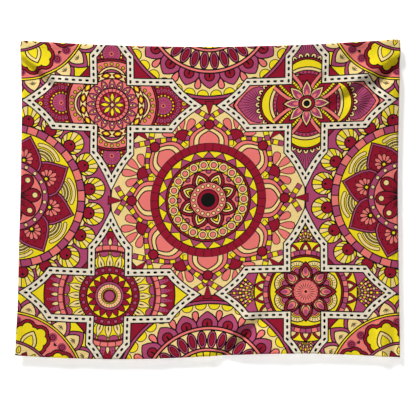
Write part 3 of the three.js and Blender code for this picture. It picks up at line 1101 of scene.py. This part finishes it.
def make_cloth():
    """One printed sheet with its paler reverse, closed round the edge."""
    front, triangles, dyes = printed_facets()
    rim = rim_of(triangles)
    count = len(rim)
    ring = [(k, (k + 1) % count) for k in range(count)]
    back, back_triangles, numbers = facets(front[rim].tolist() + grid_places(REVERSE_GRID), ring)
    back_rim = numbers[:count]
    places = np.concatenate([hung(front, FRONT_Y), hung(back, REVERSE_Y)])
    offset = len(front)
    strip = [(rim[k], back_rim[k] + offset, back_rim[n] + offset, rim[n]) for k, n in ring]
    # Seen from the front, along +y, a triangle that runs anticlockwise on the flat cloth faces -y.
    faces = triangles.tolist() + (back_triangles[:, ::-1] + offset).tolist() + strip
    cloth = mesh_piece("printed_cloth", places, faces)
    shown = dye_colours[dyes_at(back * JUST_INSIDE)]
    reverse_dye = SHOW_THROUGH * shown + (1 - SHOW_THROUGH) * GROUND
    store_corner_colours(cloth.data, np.concatenate([
        np.repeat(dye_colours[dyes], 3, axis=0),
        reverse_dye[back_triangles[:, ::-1].ravel()],
        np.tile(GROUND, (4 * count, 1))]))
    store_flat_places(cloth.data, np.concatenate([front, back]))
    vertex_uv = np.concatenate([bake_places(front, FRONT_SHARE), bake_places(back, REVERSE_SHARE)])
    store_bake_map(cloth.data, vertex_uv[corner_vertices(cloth.data)])
    return cloth


HEM_WIDTH = 25.0
HEM_STEP = 4.0               # mm between the rows of places along a hem
hem_low, hem_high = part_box("top_hem")
HEM_BACK_Y = hem_high.y / MM
HEM_FRONT_Y = hem_low.y / MM
# A hem's section, from the cloth's edge inward and round: (inset, depth)
HEM_SECTION = ((0.35, REVERSE_Y), (0.0, (REVERSE_Y + HEM_BACK_Y) / 2), (0.15, HEM_BACK_Y - 0.15),
               (0.6, HEM_BACK_Y), (6.0, HEM_BACK_Y), (12.0, HEM_BACK_Y), (18.0, HEM_BACK_Y),
               (24.2, HEM_BACK_Y), (24.7, HEM_BACK_Y - 0.12), (24.85, (HEM_BACK_Y + HEM_FRONT_Y) / 2),
               (24.7, HEM_FRONT_Y + 0.12), (24.2, HEM_FRONT_Y), (18.0, HEM_FRONT_Y),
               (12.0, HEM_FRONT_Y), (6.0, HEM_FRONT_Y), (1.4, REVERSE_Y))


def make_hem(name, start, end):
    """The cloth turned twice to its back along one edge, from start to end on the flat cloth."""
    length = abs(end - start)
    along = (end - start) / length
    inward = along * 1j
    rows = round(length / HEM_STEP)
    walk = np.linspace(0, length, rows + 1)
    spots_mm = np.concatenate([start + along * walk + inward * inset for inset, _ in HEM_SECTION])
    depths = np.repeat([depth for _, depth in HEM_SECTION], rows + 1)
    # The turned edge is seldom quite straight, so its inner line wanders a little.
    stray = 0.35 * np.sin(walk / 37) + 0.2 * np.sin(walk / 13 + 1)
    wander = np.concatenate([stray * (inset > 20) for inset, _ in HEM_SECTION])
    spots_mm = spots_mm + inward * (wander - abs(wander))
    around_section = len(HEM_SECTION)
    faces = []
    for ring in range(around_section):
        near = ring * (rows + 1)
        far = (ring + 1) % around_section * (rows + 1)
        faces += [(far + k, far + k + 1, near + k + 1, near + k) for k in range(rows)]
    faces.append([ring * (rows + 1) for ring in reversed(range(around_section))])
    faces.append([ring * (rows + 1) + rows for ring in range(around_section)])
    hem = mesh_piece(name, hung(spots_mm, depths), faces)
    # Each place takes the dye of the print there, at least 1 mm inside the cloth's edge.
    inner_spots = start + along * np.clip(walk, 1, length - 1)
    looked_up = np.concatenate([inner_spots + inward * max(inset, 1) for inset, _ in HEM_SECTION])
    store_corner_colours(hem.data, dye_colours[dyes_at(looked_up)][corner_vertices(hem.data)])
    store_flat_places(hem.data, spots_mm)
    return hem


STITCH_LENGTH = 3.2
STITCH_GAP = 0.5
THREAD_HALF = 0.3
BACK_THREAD_LIFT = 0.1       # the thread's middle over the hem
BACK_THREAD_HALF = 0.15
STITCH_INSET = HEM_WIDTH - 2.3
SIDE_STITCH_END = 2.0        # the side rows stop this far short of their hem's ends
# A stitch along +x: how far along, and how full the thread is there
STITCH_RINGS = ((0.0, 0.35), (0.16, 0.9), (0.5, 1.0), (0.84, 0.9), (1.0, 0.35))
STITCH_SIDES = 6
thread_low, thread_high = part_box("top_hem_stitching")


def tube_faces(first, rings, sides):
    """The skin of a closed tube whose rings follow each other from place number first.

    It faces out where the rings turn anticlockwise, seen from the tube's last end."""
    faces = []
    for near in range(first, first + (rings - 1) * sides, sides):
        far = near + sides
        faces += [(near + (k + 1) % sides, far + (k + 1) % sides, far + k, near + k) for k in range(sides)]
    last = first + (rings - 1) * sides
    faces.append([first + k for k in reversed(range(sides))])
    faces.append([last + k for k in range(sides)])
    return faces


def make_stitching(name, start, end):
    """A row of lockstitches along one edge, seen on the printed face and on the hem."""
    length = abs(end - start)
    along = (end - start) / length
    inward = along * 1j
    count = int(length / (STITCH_LENGTH + STITCH_GAP))
    pitch = length / count
    angles = np.arange(STITCH_SIDES) * 2 * np.pi / STITCH_SIDES
    spots_mm, depths, faces = [], [], []
    front_side = ((thread_low.y + thread_high.y) / 2 / MM, (thread_high.y - thread_low.y) / 2 / MM)
    back_side = (HEM_BACK_Y + BACK_THREAD_LIFT, BACK_THREAD_HALF)
    for stitch in range(count):
        for surface, half_height in (front_side, back_side):
            first = len(spots_mm) * STITCH_SIDES
            base = start + along * (pitch * stitch + STITCH_GAP / 2) + inward * STITCH_INSET
            for share, full in STITCH_RINGS:
                centre = base + along * share * (pitch - STITCH_GAP)
                spots_mm.append(centre + inward * THREAD_HALF * full * np.cos(angles))
                depths.append(surface + half_height * full * np.sin(angles))
            # These rings turn the other way, so each face is turned over.
            faces += [face[::-1] for face in tube_faces(first, len(STITCH_RINGS), STITCH_SIDES)]
    return mesh_piece(name, hung(np.concatenate(spots_mm), np.concatenate(depths)), faces)


# Each edge as (name, start, end), with the cloth on the left of the way along it
SIDE_END = HALF_HEIGHT - HEM_WIDTH - 0.4
EDGES = (
    ("top", complex(HALF_WIDTH, HALF_HEIGHT), complex(-HALF_WIDTH, HALF_HEIGHT)),
    ("bottom", complex(-HALF_WIDTH, -HALF_HEIGHT), complex(HALF_WIDTH, -HALF_HEIGHT)),
    ("left", complex(-HALF_WIDTH, SIDE_END), complex(-HALF_WIDTH, -SIDE_END)),
    ("right", complex(HALF_WIDTH, -SIDE_END), complex(HALF_WIDTH, SIDE_END)),
)


def make_borders():
    """Hem and stitching on each edge, by edge name."""
    made = {}
    for side, start, end in EDGES:
        hem = make_hem("turned_hem_" + side, start, end)
        short = STITCH_INSET if side in ("top", "bottom") else SIDE_STITCH_END
        margin = (end - start) / abs(end - start) * short
        stitching = make_stitching("lockstitches_" + side, start + margin, end - margin)
        made[side] = (hem, stitching)
    return made


# ---- Hanging hardware: modelled once at x = 0, then copied to both corners ----

def begin(name, add, **settings):
    """Adds a primitive, the only thing selected, and opens it in edit mode."""
    bpy.ops.object.select_all(action="DESELECT")
    add(**settings)
    piece = bpy.context.object
    piece.name = name
    piece.data.name = name
    bpy.ops.object.transform_apply(location=True, rotation=True, scale=True)
    bpy.ops.object.mode_set(mode="EDIT")
    return piece


def choose(piece, kind, wanted):
    """Selects the faces, edges or corners (kind) whose middle passes the test."""
    bpy.ops.mesh.select_mode(type={"verts": "VERT", "edges": "EDGE", "faces": "FACE"}[kind])
    bpy.ops.mesh.select_all(action="DESELECT")
    shape = bmesh.from_edit_mesh(piece.data)
    for item in getattr(shape, kind):
        corners = [item] if kind == "verts" else item.verts
        middle = sum((corner.co for corner in corners), Vector()) / len(corners)
        if wanted(middle):
            item.select = True
    shape.select_flush(True)
    bmesh.update_edit_mesh(piece.data)


def push(offset):
    """Extrudes what is selected."""
    bpy.ops.mesh.extrude_region_move(TRANSFORM_OT_translate={"value": offset})


def settle(piece, place, angle_limit=35):
    """Leaves edit mode, puts the shape where it belongs in its own mesh, and smooths it."""
    bpy.ops.mesh.select_all(action="SELECT")
    bpy.ops.mesh.remove_doubles(threshold=0.00001)
    bpy.ops.mesh.normals_make_consistent(inside=False)
    bpy.ops.object.mode_set(mode="OBJECT")
    piece.data.transform(place)
    piece.matrix_world = Matrix.Identity(4)
    bpy.ops.object.select_all(action="DESELECT")
    piece.select_set(True)
    bpy.context.view_layer.objects.active = piece
    bpy.ops.object.shade_smooth_by_angle(angle=math.radians(angle_limit))


hook_low, hook_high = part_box("peg_hook_left")
pad_low, pad_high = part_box("adhesive_pad_left")
ring_low, ring_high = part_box("d_ring_left")
tab_low, tab_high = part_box("ring_tab_left")
tack_low, tack_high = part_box("bar_tack_left")
PEG_X = (hook_low.x + hook_high.x) / 2
# Turns a shape that is built up along z so that it stands out from the wall
OUT_OF_WALL = Matrix.Rotation(math.pi / 2, 4, "X")


def make_pad():
    """A disc of foam tape, its cut edge a little hollow."""
    radius = (pad_high.x - pad_low.x) / 2
    thickness = pad_high.y - pad_low.y
    middle = thickness / 2

    def on_face(at):
        return abs(at.z - middle) > thickness * 0.4

    pad = begin("foam_disc_left", bpy.ops.mesh.primitive_cylinder_add,
                vertices=64, radius=radius, depth=thickness, location=(0, 0, middle))
    choose(pad, "faces", on_face)
    bpy.ops.mesh.inset(thickness=radius * 0.08, depth=0)
    choose(pad, "edges", lambda at: on_face(at) and at.xy.length > radius * 0.98)
    bpy.ops.mesh.bevel(offset=thickness * 0.16, segments=2, affect="EDGES")
    choose(pad, "edges", lambda at: abs(at.z - middle) < thickness * 0.1)
    bpy.ops.mesh.subdivide(number_cuts=2, smoothness=0)
    choose(pad, "verts", lambda at: abs(at.z - middle) < thickness * 0.2)
    bpy.ops.transform.resize(value=(0.985, 0.985, 1), center_override=(0, 0, middle))
    settle(pad, Matrix.Translation((PEG_X, pad_high.y, 0)) @ OUT_OF_WALL)
    return pad


BASE_HEIGHT = 2.7 * MM
PEG_RADIUS = 2.0 * MM
HEAD_RADIUS = 4.0 * MM
HEAD_HEIGHT = 2.5 * MM
PEG_FILLET = 1.2 * MM
BASE_ROUNDING = 1.2 * MM
FOOT_ROUNDING = 0.25 * MM
HEAD_ROUNDING = 0.7 * MM


def make_hook():
    """A moulded disc, a plain peg and a button head that keeps the ring on."""
    radius = (hook_high.x - hook_low.x) / 2
    height = hook_high.y - hook_low.y
    hook = begin("wall_peg_left", bpy.ops.mesh.primitive_cylinder_add,
                 vertices=64, radius=radius, depth=BASE_HEIGHT, location=(0, 0, BASE_HEIGHT / 2))
    choose(hook, "edges", lambda at: at.z > BASE_HEIGHT * 0.9 and at.xy.length > radius * 0.98)
    bpy.ops.mesh.bevel(offset=BASE_ROUNDING, segments=5, affect="EDGES")
    choose(hook, "edges", lambda at: at.z < BASE_HEIGHT * 0.1 and at.xy.length > radius * 0.98)
    bpy.ops.mesh.bevel(offset=FOOT_ROUNDING, segments=2, affect="EDGES")
    choose(hook, "faces", lambda at: at.z > BASE_HEIGHT * 0.99 and at.xy.length < MM)
    bpy.ops.mesh.inset(thickness=radius - BASE_ROUNDING - PEG_RADIUS - PEG_FILLET, depth=0)
    # The fillet rises to the peg in steps of (height as a share of PEG_FILLET, size against the last).
    for lift, narrower in ((0.25, 0.8), (0.35, 0.89), (0.6, 0.89)):
        push((0, 0, PEG_FILLET * lift))
        bpy.ops.transform.resize(value=(narrower, narrower, 1), center_override=(0, 0, 0))
    choose(hook, "faces", lambda at: at.z > BASE_HEIGHT + PEG_FILLET * 1.15 and at.xy.length < 0.1 * MM)
    push((0, 0, height - BASE_HEIGHT - PEG_FILLET * 1.2 - HEAD_HEIGHT))
    push((0, 0, 0))
    bpy.ops.transform.resize(value=(HEAD_RADIUS / PEG_RADIUS,) * 2 + (1,), center_override=(0, 0, 0))
    push((0, 0, HEAD_HEIGHT))
    choose(hook, "edges", lambda at: at.xy.length > HEAD_RADIUS * 0.97
           and at.z > height - HEAD_HEIGHT * 1.01
           and min(abs(at.z - height), abs(at.z - height + HEAD_HEIGHT)) < 0.01 * MM)
    bpy.ops.mesh.bevel(offset=HEAD_ROUNDING, segments=4, affect="EDGES")
    settle(hook, Matrix.Translation((PEG_X, hook_high.y, 0)) @ OUT_OF_WALL)
    return hook


WIRE_RADIUS = 1.2 * MM
RING_CORNER = 2.8 * MM
BUTT_GAP = 0.4 * MM
BUTT_ROUNDING = 0.15 * MM


def make_ring():
    """Round wire bent to a D, its ends butted at the middle of the straight bar."""
    half = (ring_high.x - ring_low.x) / 2 - WIRE_RADIUS
    bar_z = ring_low.z + WIRE_RADIUS
    arc_z = ring_high.z - WIRE_RADIUS - half
    ring = begin("wire_ring_left", bpy.ops.mesh.primitive_circle_add, vertices=16, radius=WIRE_RADIUS,
                 location=(BUTT_GAP / 2, 0, bar_z), rotation=(0, math.pi / 2, 0))
    flat_run = half - RING_CORNER - BUTT_GAP / 2
    upright = arc_z - bar_z - RING_CORNER
    push((flat_run, 0, 0))
    bpy.ops.mesh.spin(steps=8, angle=math.pi / 2, center=(half - RING_CORNER, 0, bar_z + RING_CORNER),
                      axis=(0, 1, 0))
    push((0, 0, upright))
    bpy.ops.mesh.spin(steps=28, angle=math.pi, center=(0, 0, arc_z), axis=(0, 1, 0))
    push((0, 0, -upright))
    bpy.ops.mesh.spin(steps=8, angle=math.pi / 2, center=(RING_CORNER - half, 0, bar_z + RING_CORNER),
                      axis=(0, 1, 0))
    push((flat_run, 0, 0))
    for side in (-1, 1):
        choose(ring, "edges", lambda at: abs(at.x - side * BUTT_GAP / 2) < 0.02 * MM
               and abs(at.z - bar_z) < 2 * WIRE_RADIUS)
        bpy.ops.mesh.edge_face_add()
        bpy.ops.mesh.bevel(offset=BUTT_ROUNDING, segments=2, affect="EDGES")
    settle(ring, Matrix.Translation((PEG_X, (ring_low.y + ring_high.y) / 2, 0)))
    return ring


TAPE_THICKNESS = 0.8         # mm, like all the tape's sizes here
TAPE_ACROSS = 12             # faces across the tape
TAPE_FLAT = 14.0             # how much of the two layers lies flat together
TAPE_ROUND = 26              # faces round the ring's bar
SLOPE_STEPS = (2.4, 4.8, 7.2, 9.6)


def make_tab():
    """Twill tape folded round the ring's bar, both layers lying flat below it."""
    ring_y = (ring_low.y + ring_high.y) / 2 / MM
    bar_z = (ring_low.z + WIRE_RADIUS) / MM
    middle_radius = tab_high.z / MM - bar_z - TAPE_THICKNESS / 2
    mid_y = tab_low.y / MM + TAPE_THICKNESS
    flat_end = tab_low.z / MM
    flat_top = flat_end + TAPE_FLAT
    slope = math.atan2(flat_top - bar_z, mid_y - ring_y)
    mouth = math.asin(TAPE_THICKNESS / 2 / middle_radius)
    back = [complex(mid_y + TAPE_THICKNESS / 2, flat_end + TAPE_FLAT * k / 6) for k in range(6)]
    back.append(complex(mid_y + TAPE_THICKNESS / 2, flat_top - 0.3))
    front = [complex(mid_y - TAPE_THICKNESS / 2, p.imag) for p in reversed(back)]
    loop = arc(complex(ring_y, bar_z), middle_radius,
               math.degrees(slope + mouth), math.degrees(slope - mouth) + 360, TAPE_ROUND)
    down_slope = cmath.rect(1, slope)
    rise = [loop[0] + down_slope * length for length in reversed(SLOPE_STEPS)]
    fall = [loop[-1] + down_slope * length for length in SLOPE_STEPS]
    path = back + rise + loop + fall + front
    across = np.linspace(tab_low.x, tab_high.x, TAPE_ACROSS + 1)
    places = [(x, p.real * MM, p.imag * MM) for p in path for x in across]
    row = TAPE_ACROSS + 1
    faces = [(k * row + i, k * row + i + 1, (k + 1) * row + i + 1, (k + 1) * row + i)
             for k in range(len(path) - 1) for i in range(TAPE_ACROSS)]
    tab = mesh_piece("tape_loop_left", places, faces)
    thicken(tab, TAPE_THICKNESS * MM * 0.94)
    return tab


def thicken(piece, thickness):
    """Gives a single skin its thickness, with softened edges."""
    bpy.ops.object.select_all(action="DESELECT")
    bpy.context.view_layer.objects.active = piece
    piece.select_set(True)
    wall = piece.modifiers.new("wall", "SOLIDIFY")
    wall.thickness = thickness
    wall.offset = 0
    bpy.ops.object.modifier_apply(modifier=wall.name)
    soften = piece.modifiers.new("edge", "BEVEL")
    soften.width = thickness * 0.22
    soften.segments = 2
    soften.limit_method = "ANGLE"
    soften.angle_limit = math.radians(60)
    bpy.ops.object.modifier_apply(modifier=soften.name)


TACK_STRANDS = 20
STRAND_SIDES = 8
STRAND_FULL = 0.56           # a strand's half width as a share of the pitch, so that they press together
# A strand's rings: how far up from its middle, and how full the thread is there
STRAND_RINGS = ((-1, 0.3), (-0.86, 0.8), (-0.4, 1), (0.4, 1), (0.86, 0.8), (1, 0.3))


def make_tack():
    """A bar tack: close satin strands of thread, leaning left and right in turn."""
    width = tack_high.x - tack_low.x
    half_height = (tack_high.z - tack_low.z) / 2
    half_depth = (tack_high.y - tack_low.y) / 2
    middle = (tack_low + tack_high) / 2
    pitch = width / TACK_STRANDS
    places, faces = [], []
    for strand in range(TACK_STRANDS):
        base_x = tack_low.x + pitch * (strand + 0.5)
        lean = pitch * (0.3 if strand % 2 else -0.3)
        first = len(places)
        for share, full in STRAND_RINGS:
            for k in range(STRAND_SIDES):
                angle = 2 * math.pi * k / STRAND_SIDES
                places.append((base_x + lean * share + STRAND_FULL * pitch * full * math.cos(angle),
                               middle.y + half_depth * full * math.sin(angle),
                               middle.z + half_height * share))
        faces += tube_faces(first, len(STRAND_RINGS), STRAND_SIDES)
    return mesh_piece("tack_stitches_left", places, faces)


def copied_right(piece):
    """The same piece at the right corner, with its own mesh."""
    twin = piece.copy()
    twin.data = piece.data.copy()
    twin.name = twin.data.name = piece.name.replace("_left", "_right")
    twin.data.transform(Matrix.Translation((-2 * PEG_X, 0, 0)))
    scene.collection.objects.link(twin)
    return twin


# ---- Materials ----

def node(tree, kind, links=(), **settings):
    """Adds a node, sets its properties and its inputs' values, and joins its inputs to outputs.

    Settings named after an input, with _ for a space, set that input; the others set the node.
    links holds (input name or number, output socket) pairs."""
    made = tree.nodes.new(kind)
    for name, value in settings.items():
        if hasattr(made, name):
            setattr(made, name, value)
        else:
            made.inputs[name.replace("_", " ")].default_value = value
    for name, source in links:
        tree.links.new(source, made.inputs[name])
    return made


def new_material(name, **surface):
    """A material with one Principled shader, its plain values set on the shader itself."""
    material = bpy.data.materials.new(name)
    material.use_nodes = True
    material.node_tree.nodes.clear()
    shader = node(material.node_tree, "ShaderNodeBsdfPrincipled", **surface)
    node(material.node_tree, "ShaderNodeOutputMaterial", [("Surface", shader.outputs[0])])
    return material, material.node_tree, shader


def wave_scale(period):
    """The scale of a wave texture whose bands are one period apart, in the units of its places."""
    return 2 * math.pi / (20 * period)


def brushed_polyester():
    """Dye-printed polyester with a brushed face: no shine, soft light at grazing edges, fine weave."""
    material, tree, shader = new_material(
        "brushed_polyester_print", Roughness=0.9, Specular_IOR_Level=0.1,
        Sheen_Weight=0.03, Sheen_Roughness=0.5)
    dye_here = node(tree, "ShaderNodeAttribute", attribute_name="dye")
    flat = node(tree, "ShaderNodeAttribute", attribute_name="flat")
    # The brushed nap takes the dye unevenly, in tufts of about 5 mm.
    tufts = node(tree, "ShaderNodeTexNoise", [("Vector", flat.outputs["Vector"])],
                 Scale=1 / 5, Detail=4.0, Roughness=0.7)
    tone = node(tree, "ShaderNodeMapRange", [("Value", tufts.outputs["Fac"])],
                From_Min=0.3, From_Max=0.7, To_Min=0.86, To_Max=1.1)
    colour = node(tree, "ShaderNodeVectorMath",
                  [(0, dye_here.outputs["Color"]), (1, tone.outputs["Result"])], operation="MULTIPLY")
    tree.links.new(colour.outputs[0], shader.inputs["Base Color"])
    # Yarns are 0.4 mm apart; drawn 1.6 mm apart, so that the weave shows.
    warp = node(tree, "ShaderNodeTexWave", [("Vector", flat.outputs["Vector"])],
                bands_direction="X", Scale=wave_scale(1.6), Distortion=0.4, Detail=1.0)
    weft = node(tree, "ShaderNodeTexWave", [("Vector", flat.outputs["Vector"])],
                bands_direction="Y", Scale=wave_scale(1.6), Distortion=0.4, Detail=1.0)
    weave = node(tree, "ShaderNodeMath", [(0, warp.outputs["Fac"]), (1, weft.outputs["Fac"])],
                 operation="MAXIMUM")
    surface = node(tree, "ShaderNodeMath", [(0, weave.outputs[0]), (1, tufts.outputs["Fac"])],
                   operation="ADD")
    bump = node(tree, "ShaderNodeBump", [("Height", surface.outputs[0])],
                Strength=0.35, Distance=0.5 * MM)
    tree.links.new(bump.outputs[0], shader.inputs["Normal"])
    return material


def sewing_thread():
    """Two-ply spun polyester thread: a soft sheen and a slant twist."""
    material, tree, shader = new_material(
        "spun_polyester_thread", Roughness=0.55, Sheen_Weight=0.2)
    place = node(tree, "ShaderNodeTexCoord")
    # The plies cross the thread every 0.6 mm.
    twist = node(tree, "ShaderNodeTexWave", [("Vector", place.outputs["Object"])],
                 bands_direction="DIAGONAL", Scale=wave_scale(0.6 * MM), Distortion=0.5)
    tone = node(tree, "ShaderNodeValToRGB", [("Fac", twist.outputs["Fac"])])
    tone.color_ramp.elements[0].color = linear("#551024")
    tone.color_ramp.elements[1].color = linear("#84203E")
    tree.links.new(tone.outputs["Color"], shader.inputs["Base Color"])
    bump = node(tree, "ShaderNodeBump", [("Height", twist.outputs["Fac"])],
                Strength=0.5, Distance=0.1 * MM)
    tree.links.new(bump.outputs[0], shader.inputs["Normal"])
    return material


def cotton_twill():
    """Dark cotton twill tape: dull, with the slanting ribs of its weave."""
    material, tree, shader = new_material("cotton_twill_tape", Roughness=0.92, Sheen_Weight=0.15)
    place = node(tree, "ShaderNodeTexCoord")
    # Twill ribs lie 0.9 mm apart.
    ribs = node(tree, "ShaderNodeTexWave", [("Vector", place.outputs["Object"])],
                bands_direction="DIAGONAL", Scale=wave_scale(0.9 * MM), Distortion=1.5, Detail=2.0)
    lint = node(tree, "ShaderNodeTexNoise", [("Vector", place.outputs["Object"])], Scale=1 / (0.7 * MM))
    height = node(tree, "ShaderNodeMath", [(0, ribs.outputs["Fac"]), (1, lint.outputs["Fac"])],
                  operation="ADD")
    tone = node(tree, "ShaderNodeValToRGB", [("Fac", ribs.outputs["Fac"])])
    tone.color_ramp.elements[0].color = linear("#211F1C")
    tone.color_ramp.elements[1].color = linear("#46423B")
    tree.links.new(tone.outputs["Color"], shader.inputs["Base Color"])
    bump = node(tree, "ShaderNodeBump", [("Height", height.outputs[0])],
                Strength=0.6, Distance=0.15 * MM)
    tree.links.new(bump.outputs[0], shader.inputs["Normal"])
    return material


def nickel_plate():
    """Bright nickel on steel wire: warm mirror with rubbed dull spots."""
    material, tree, shader = new_material(
        "nickel_plated_wire", Base_Color=linear("#C6C2B8"), Metallic=1.0)
    place = node(tree, "ShaderNodeTexCoord")
    # Handling marks about 1.5 mm across.
    marks = node(tree, "ShaderNodeTexNoise", [("Vector", place.outputs["Object"])],
                 Scale=1 / (1.5 * MM), Detail=5.0)
    dulling = node(tree, "ShaderNodeMapRange", [("Value", marks.outputs["Fac"])],
                   From_Min=0.35, From_Max=0.7, To_Min=0.14, To_Max=0.36)
    tree.links.new(dulling.outputs["Result"], shader.inputs["Roughness"])
    bump = node(tree, "ShaderNodeBump", [("Height", marks.outputs["Fac"])],
                Strength=0.15, Distance=0.05 * MM)
    tree.links.new(bump.outputs[0], shader.inputs["Normal"])
    return material


def moulded_abs():
    """White moulded ABS: a satin skin with the fine grain of a spark-eroded mould."""
    material, tree, shader = new_material(
        "moulded_abs", Base_Color=linear("#F1F0EC"), IOR=1.54)
    place = node(tree, "ShaderNodeTexCoord")
    # Mould grain of about 0.25 mm.
    grain = node(tree, "ShaderNodeTexNoise", [("Vector", place.outputs["Object"])],
                 Scale=1 / (0.25 * MM), Detail=3.0)
    gloss = node(tree, "ShaderNodeMapRange", [("Value", grain.outputs["Fac"])],
                 From_Min=0.3, From_Max=0.7, To_Min=0.28, To_Max=0.42)
    tree.links.new(gloss.outputs["Result"], shader.inputs["Roughness"])
    bump = node(tree, "ShaderNodeBump", [("Height", grain.outputs["Fac"])],
                Strength=0.25, Distance=0.05 * MM)
    tree.links.new(bump.outputs[0], shader.inputs["Normal"])
    return material


def foam_tape():
    """Closed-cell polyethylene foam tape: chalky, pitted with cut cells."""
    material, tree, shader = new_material("closed_cell_foam", Roughness=0.9)
    place = node(tree, "ShaderNodeTexCoord")
    # Cells of about 0.3 mm.
    cells = node(tree, "ShaderNodeTexVoronoi", [("Vector", place.outputs["Object"])],
                 Scale=1 / (0.3 * MM))
    tone = node(tree, "ShaderNodeValToRGB", [("Fac", cells.outputs["Distance"])])
    tone.color_ramp.elements[0].color = linear("#C4C3BD")
    tone.color_ramp.elements[1].color = linear("#E4E3DE")
    tree.links.new(tone.outputs["Color"], shader.inputs["Base Color"])
    bump = node(tree, "ShaderNodeBump", [("Height", cells.outputs["Distance"])],
                Strength=0.6, Distance=0.1 * MM)
    tree.links.new(bump.outputs[0], shader.inputs["Normal"])
    return material


# ---- The tapestry put together ----

def finish_with(piece, material):
    """Gives a piece its one material."""
    piece.data.materials.clear()
    piece.data.materials.append(material)


draw_print()
cloth = make_cloth()
borders = make_borders()
polyester = brushed_polyester()
thread = sewing_thread()

finish_with(cloth, polyester)
for hem, stitching in borders.values():
    finish_with(hem, polyester)
    finish_with(stitching, thread)

# The hardware: how it is made, its material and slot, the body that carries it, and its solids' name
LEFT_KIT = (
    (make_pad, foam_tape(), "pad_foam", "wall_hooks", "adhesive_pad_"),
    (make_hook, moulded_abs(), "hook_plastic", "wall_hooks", "peg_hook_"),
    (make_ring, nickel_plate(), "ring_wire", "sheet_upper", "d_ring_"),
    (make_tab, cotton_twill(), "twill_tape", "sheet_upper", "ring_tab_"),
    (make_tack, thread, "thread", "sheet_upper", "bar_tack_"),
)
for make, material, slot_name, body, solid in LEFT_KIT:
    left = make()
    for piece, side in ((left, "left"), (copied_right(left), "right")):
        finish_with(piece, material)
        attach(piece, body)
        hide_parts(solid + side)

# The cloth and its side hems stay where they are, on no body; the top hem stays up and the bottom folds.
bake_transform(cloth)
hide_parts("printed_cloth_upper", "printed_cloth_lower")
for side, body in (("top", "sheet_upper"), ("bottom", "sheet_lower")):
    for piece, solid in zip(borders[side], ("_hem", "_hem_stitching")):
        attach(piece, body)
        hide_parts(side + solid)
for side in ("left", "right"):
    for piece, solid in zip(borders[side], ("_hem", "_hem_stitching")):
        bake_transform(piece)
        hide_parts(side + solid + "_upper", side + solid + "_lower")


# ---- Wall, floor and light ----

def add_plane(name, places, hex_colour, glow=0.0, one_sided=False):
    """A painted wall or floor of the room."""
    plane = mesh_piece(name, places, [(0, 1, 2, 3)], smooth=False)
    material, tree, shader = new_material(
        name + "_paint", Base_Color=linear(hex_colour), Roughness=0.9,
        Emission_Color=linear("#FFFFFF"), Emission_Strength=glow)
    if one_sided:
        # Seen from its back the wall is clear, so that the tapestry's back can be looked at.
        facing = node(tree, "ShaderNodeNewGeometry")
        clear = node(tree, "ShaderNodeBsdfTransparent")
        mixed = node(tree, "ShaderNodeMixShader",
                     [(0, facing.outputs["Backfacing"]), (1, shader.outputs[0]), (2, clear.outputs[0])])
        output = [n for n in tree.nodes if n.type == "OUTPUT_MATERIAL"][0]
        tree.links.new(mixed.outputs[0], output.inputs["Surface"])
    plane.data.materials.append(material)


WALL_Y = 0.001               # metres, just behind the hooks' pads
WALL_REACH = 4.0
WALL_TOP = 3.0
WALL_GLOW = 0.48             # stands in for the light of a bright room on the white wall
FLOOR_Z = cad_low.z - 1.0
FLOOR_REACH = 6.0
add_plane("wall", [(-WALL_REACH, WALL_Y, FLOOR_Z), (WALL_REACH, WALL_Y, FLOOR_Z),
                   (WALL_REACH, WALL_Y, WALL_TOP), (-WALL_REACH, WALL_Y, WALL_TOP)],
          "#F4F4F3", glow=WALL_GLOW, one_sided=True)
add_plane("floor", [(-FLOOR_REACH, -FLOOR_REACH, FLOOR_Z), (FLOOR_REACH, -FLOOR_REACH, FLOOR_Z),
                    (FLOOR_REACH, FLOOR_REACH, FLOOR_Z), (-FLOOR_REACH, FLOOR_REACH, FLOOR_Z)],
          "#E6E5E2")


def add_light(kind, name, place, watts, **settings):
    """A lamp aimed at the middle of the tapestry."""
    data = bpy.data.lights.new(name, kind)
    data.energy = watts
    for setting, value in settings.items():
        setattr(data, setting, value)
    light = bpy.data.objects.new(name, data)
    light.location = place
    aim = (cad_low + cad_high) / 2 - Vector(place)
    light.rotation_euler = aim.to_track_quat("-Z", "Y").to_euler()
    scene.collection.objects.link(light)


# The key is a large round lamp high on the left, so that it rakes over the folds.
add_light("SPOT", "key", (-4.35, -4.05, 8.4), 8900, spot_size=math.radians(25), spot_blend=0.7,
          shadow_soft_size=1.5)
# The front lamp lifts the shaded sides a little, and the other lights the reverse.
add_light("AREA", "front", (0.3, -3.6, 0.6), 7, shape="DISK", size=2.6)
add_light("AREA", "back_fill", (1.2, 3.0, 1.0), 60, shape="DISK", size=2.0)

world = bpy.data.worlds.new("studio")
scene.world = world
world.use_nodes = True
world.node_tree.nodes.clear()
sky = node(world.node_tree, "ShaderNodeBackground", Color=linear("#FFFFFF"), Strength=0.1)
node(world.node_tree, "ShaderNodeOutputWorld", [("Surface", sky.outputs[0])])
scene.view_settings.view_transform = "Standard"
scene.view_settings.look = "None"
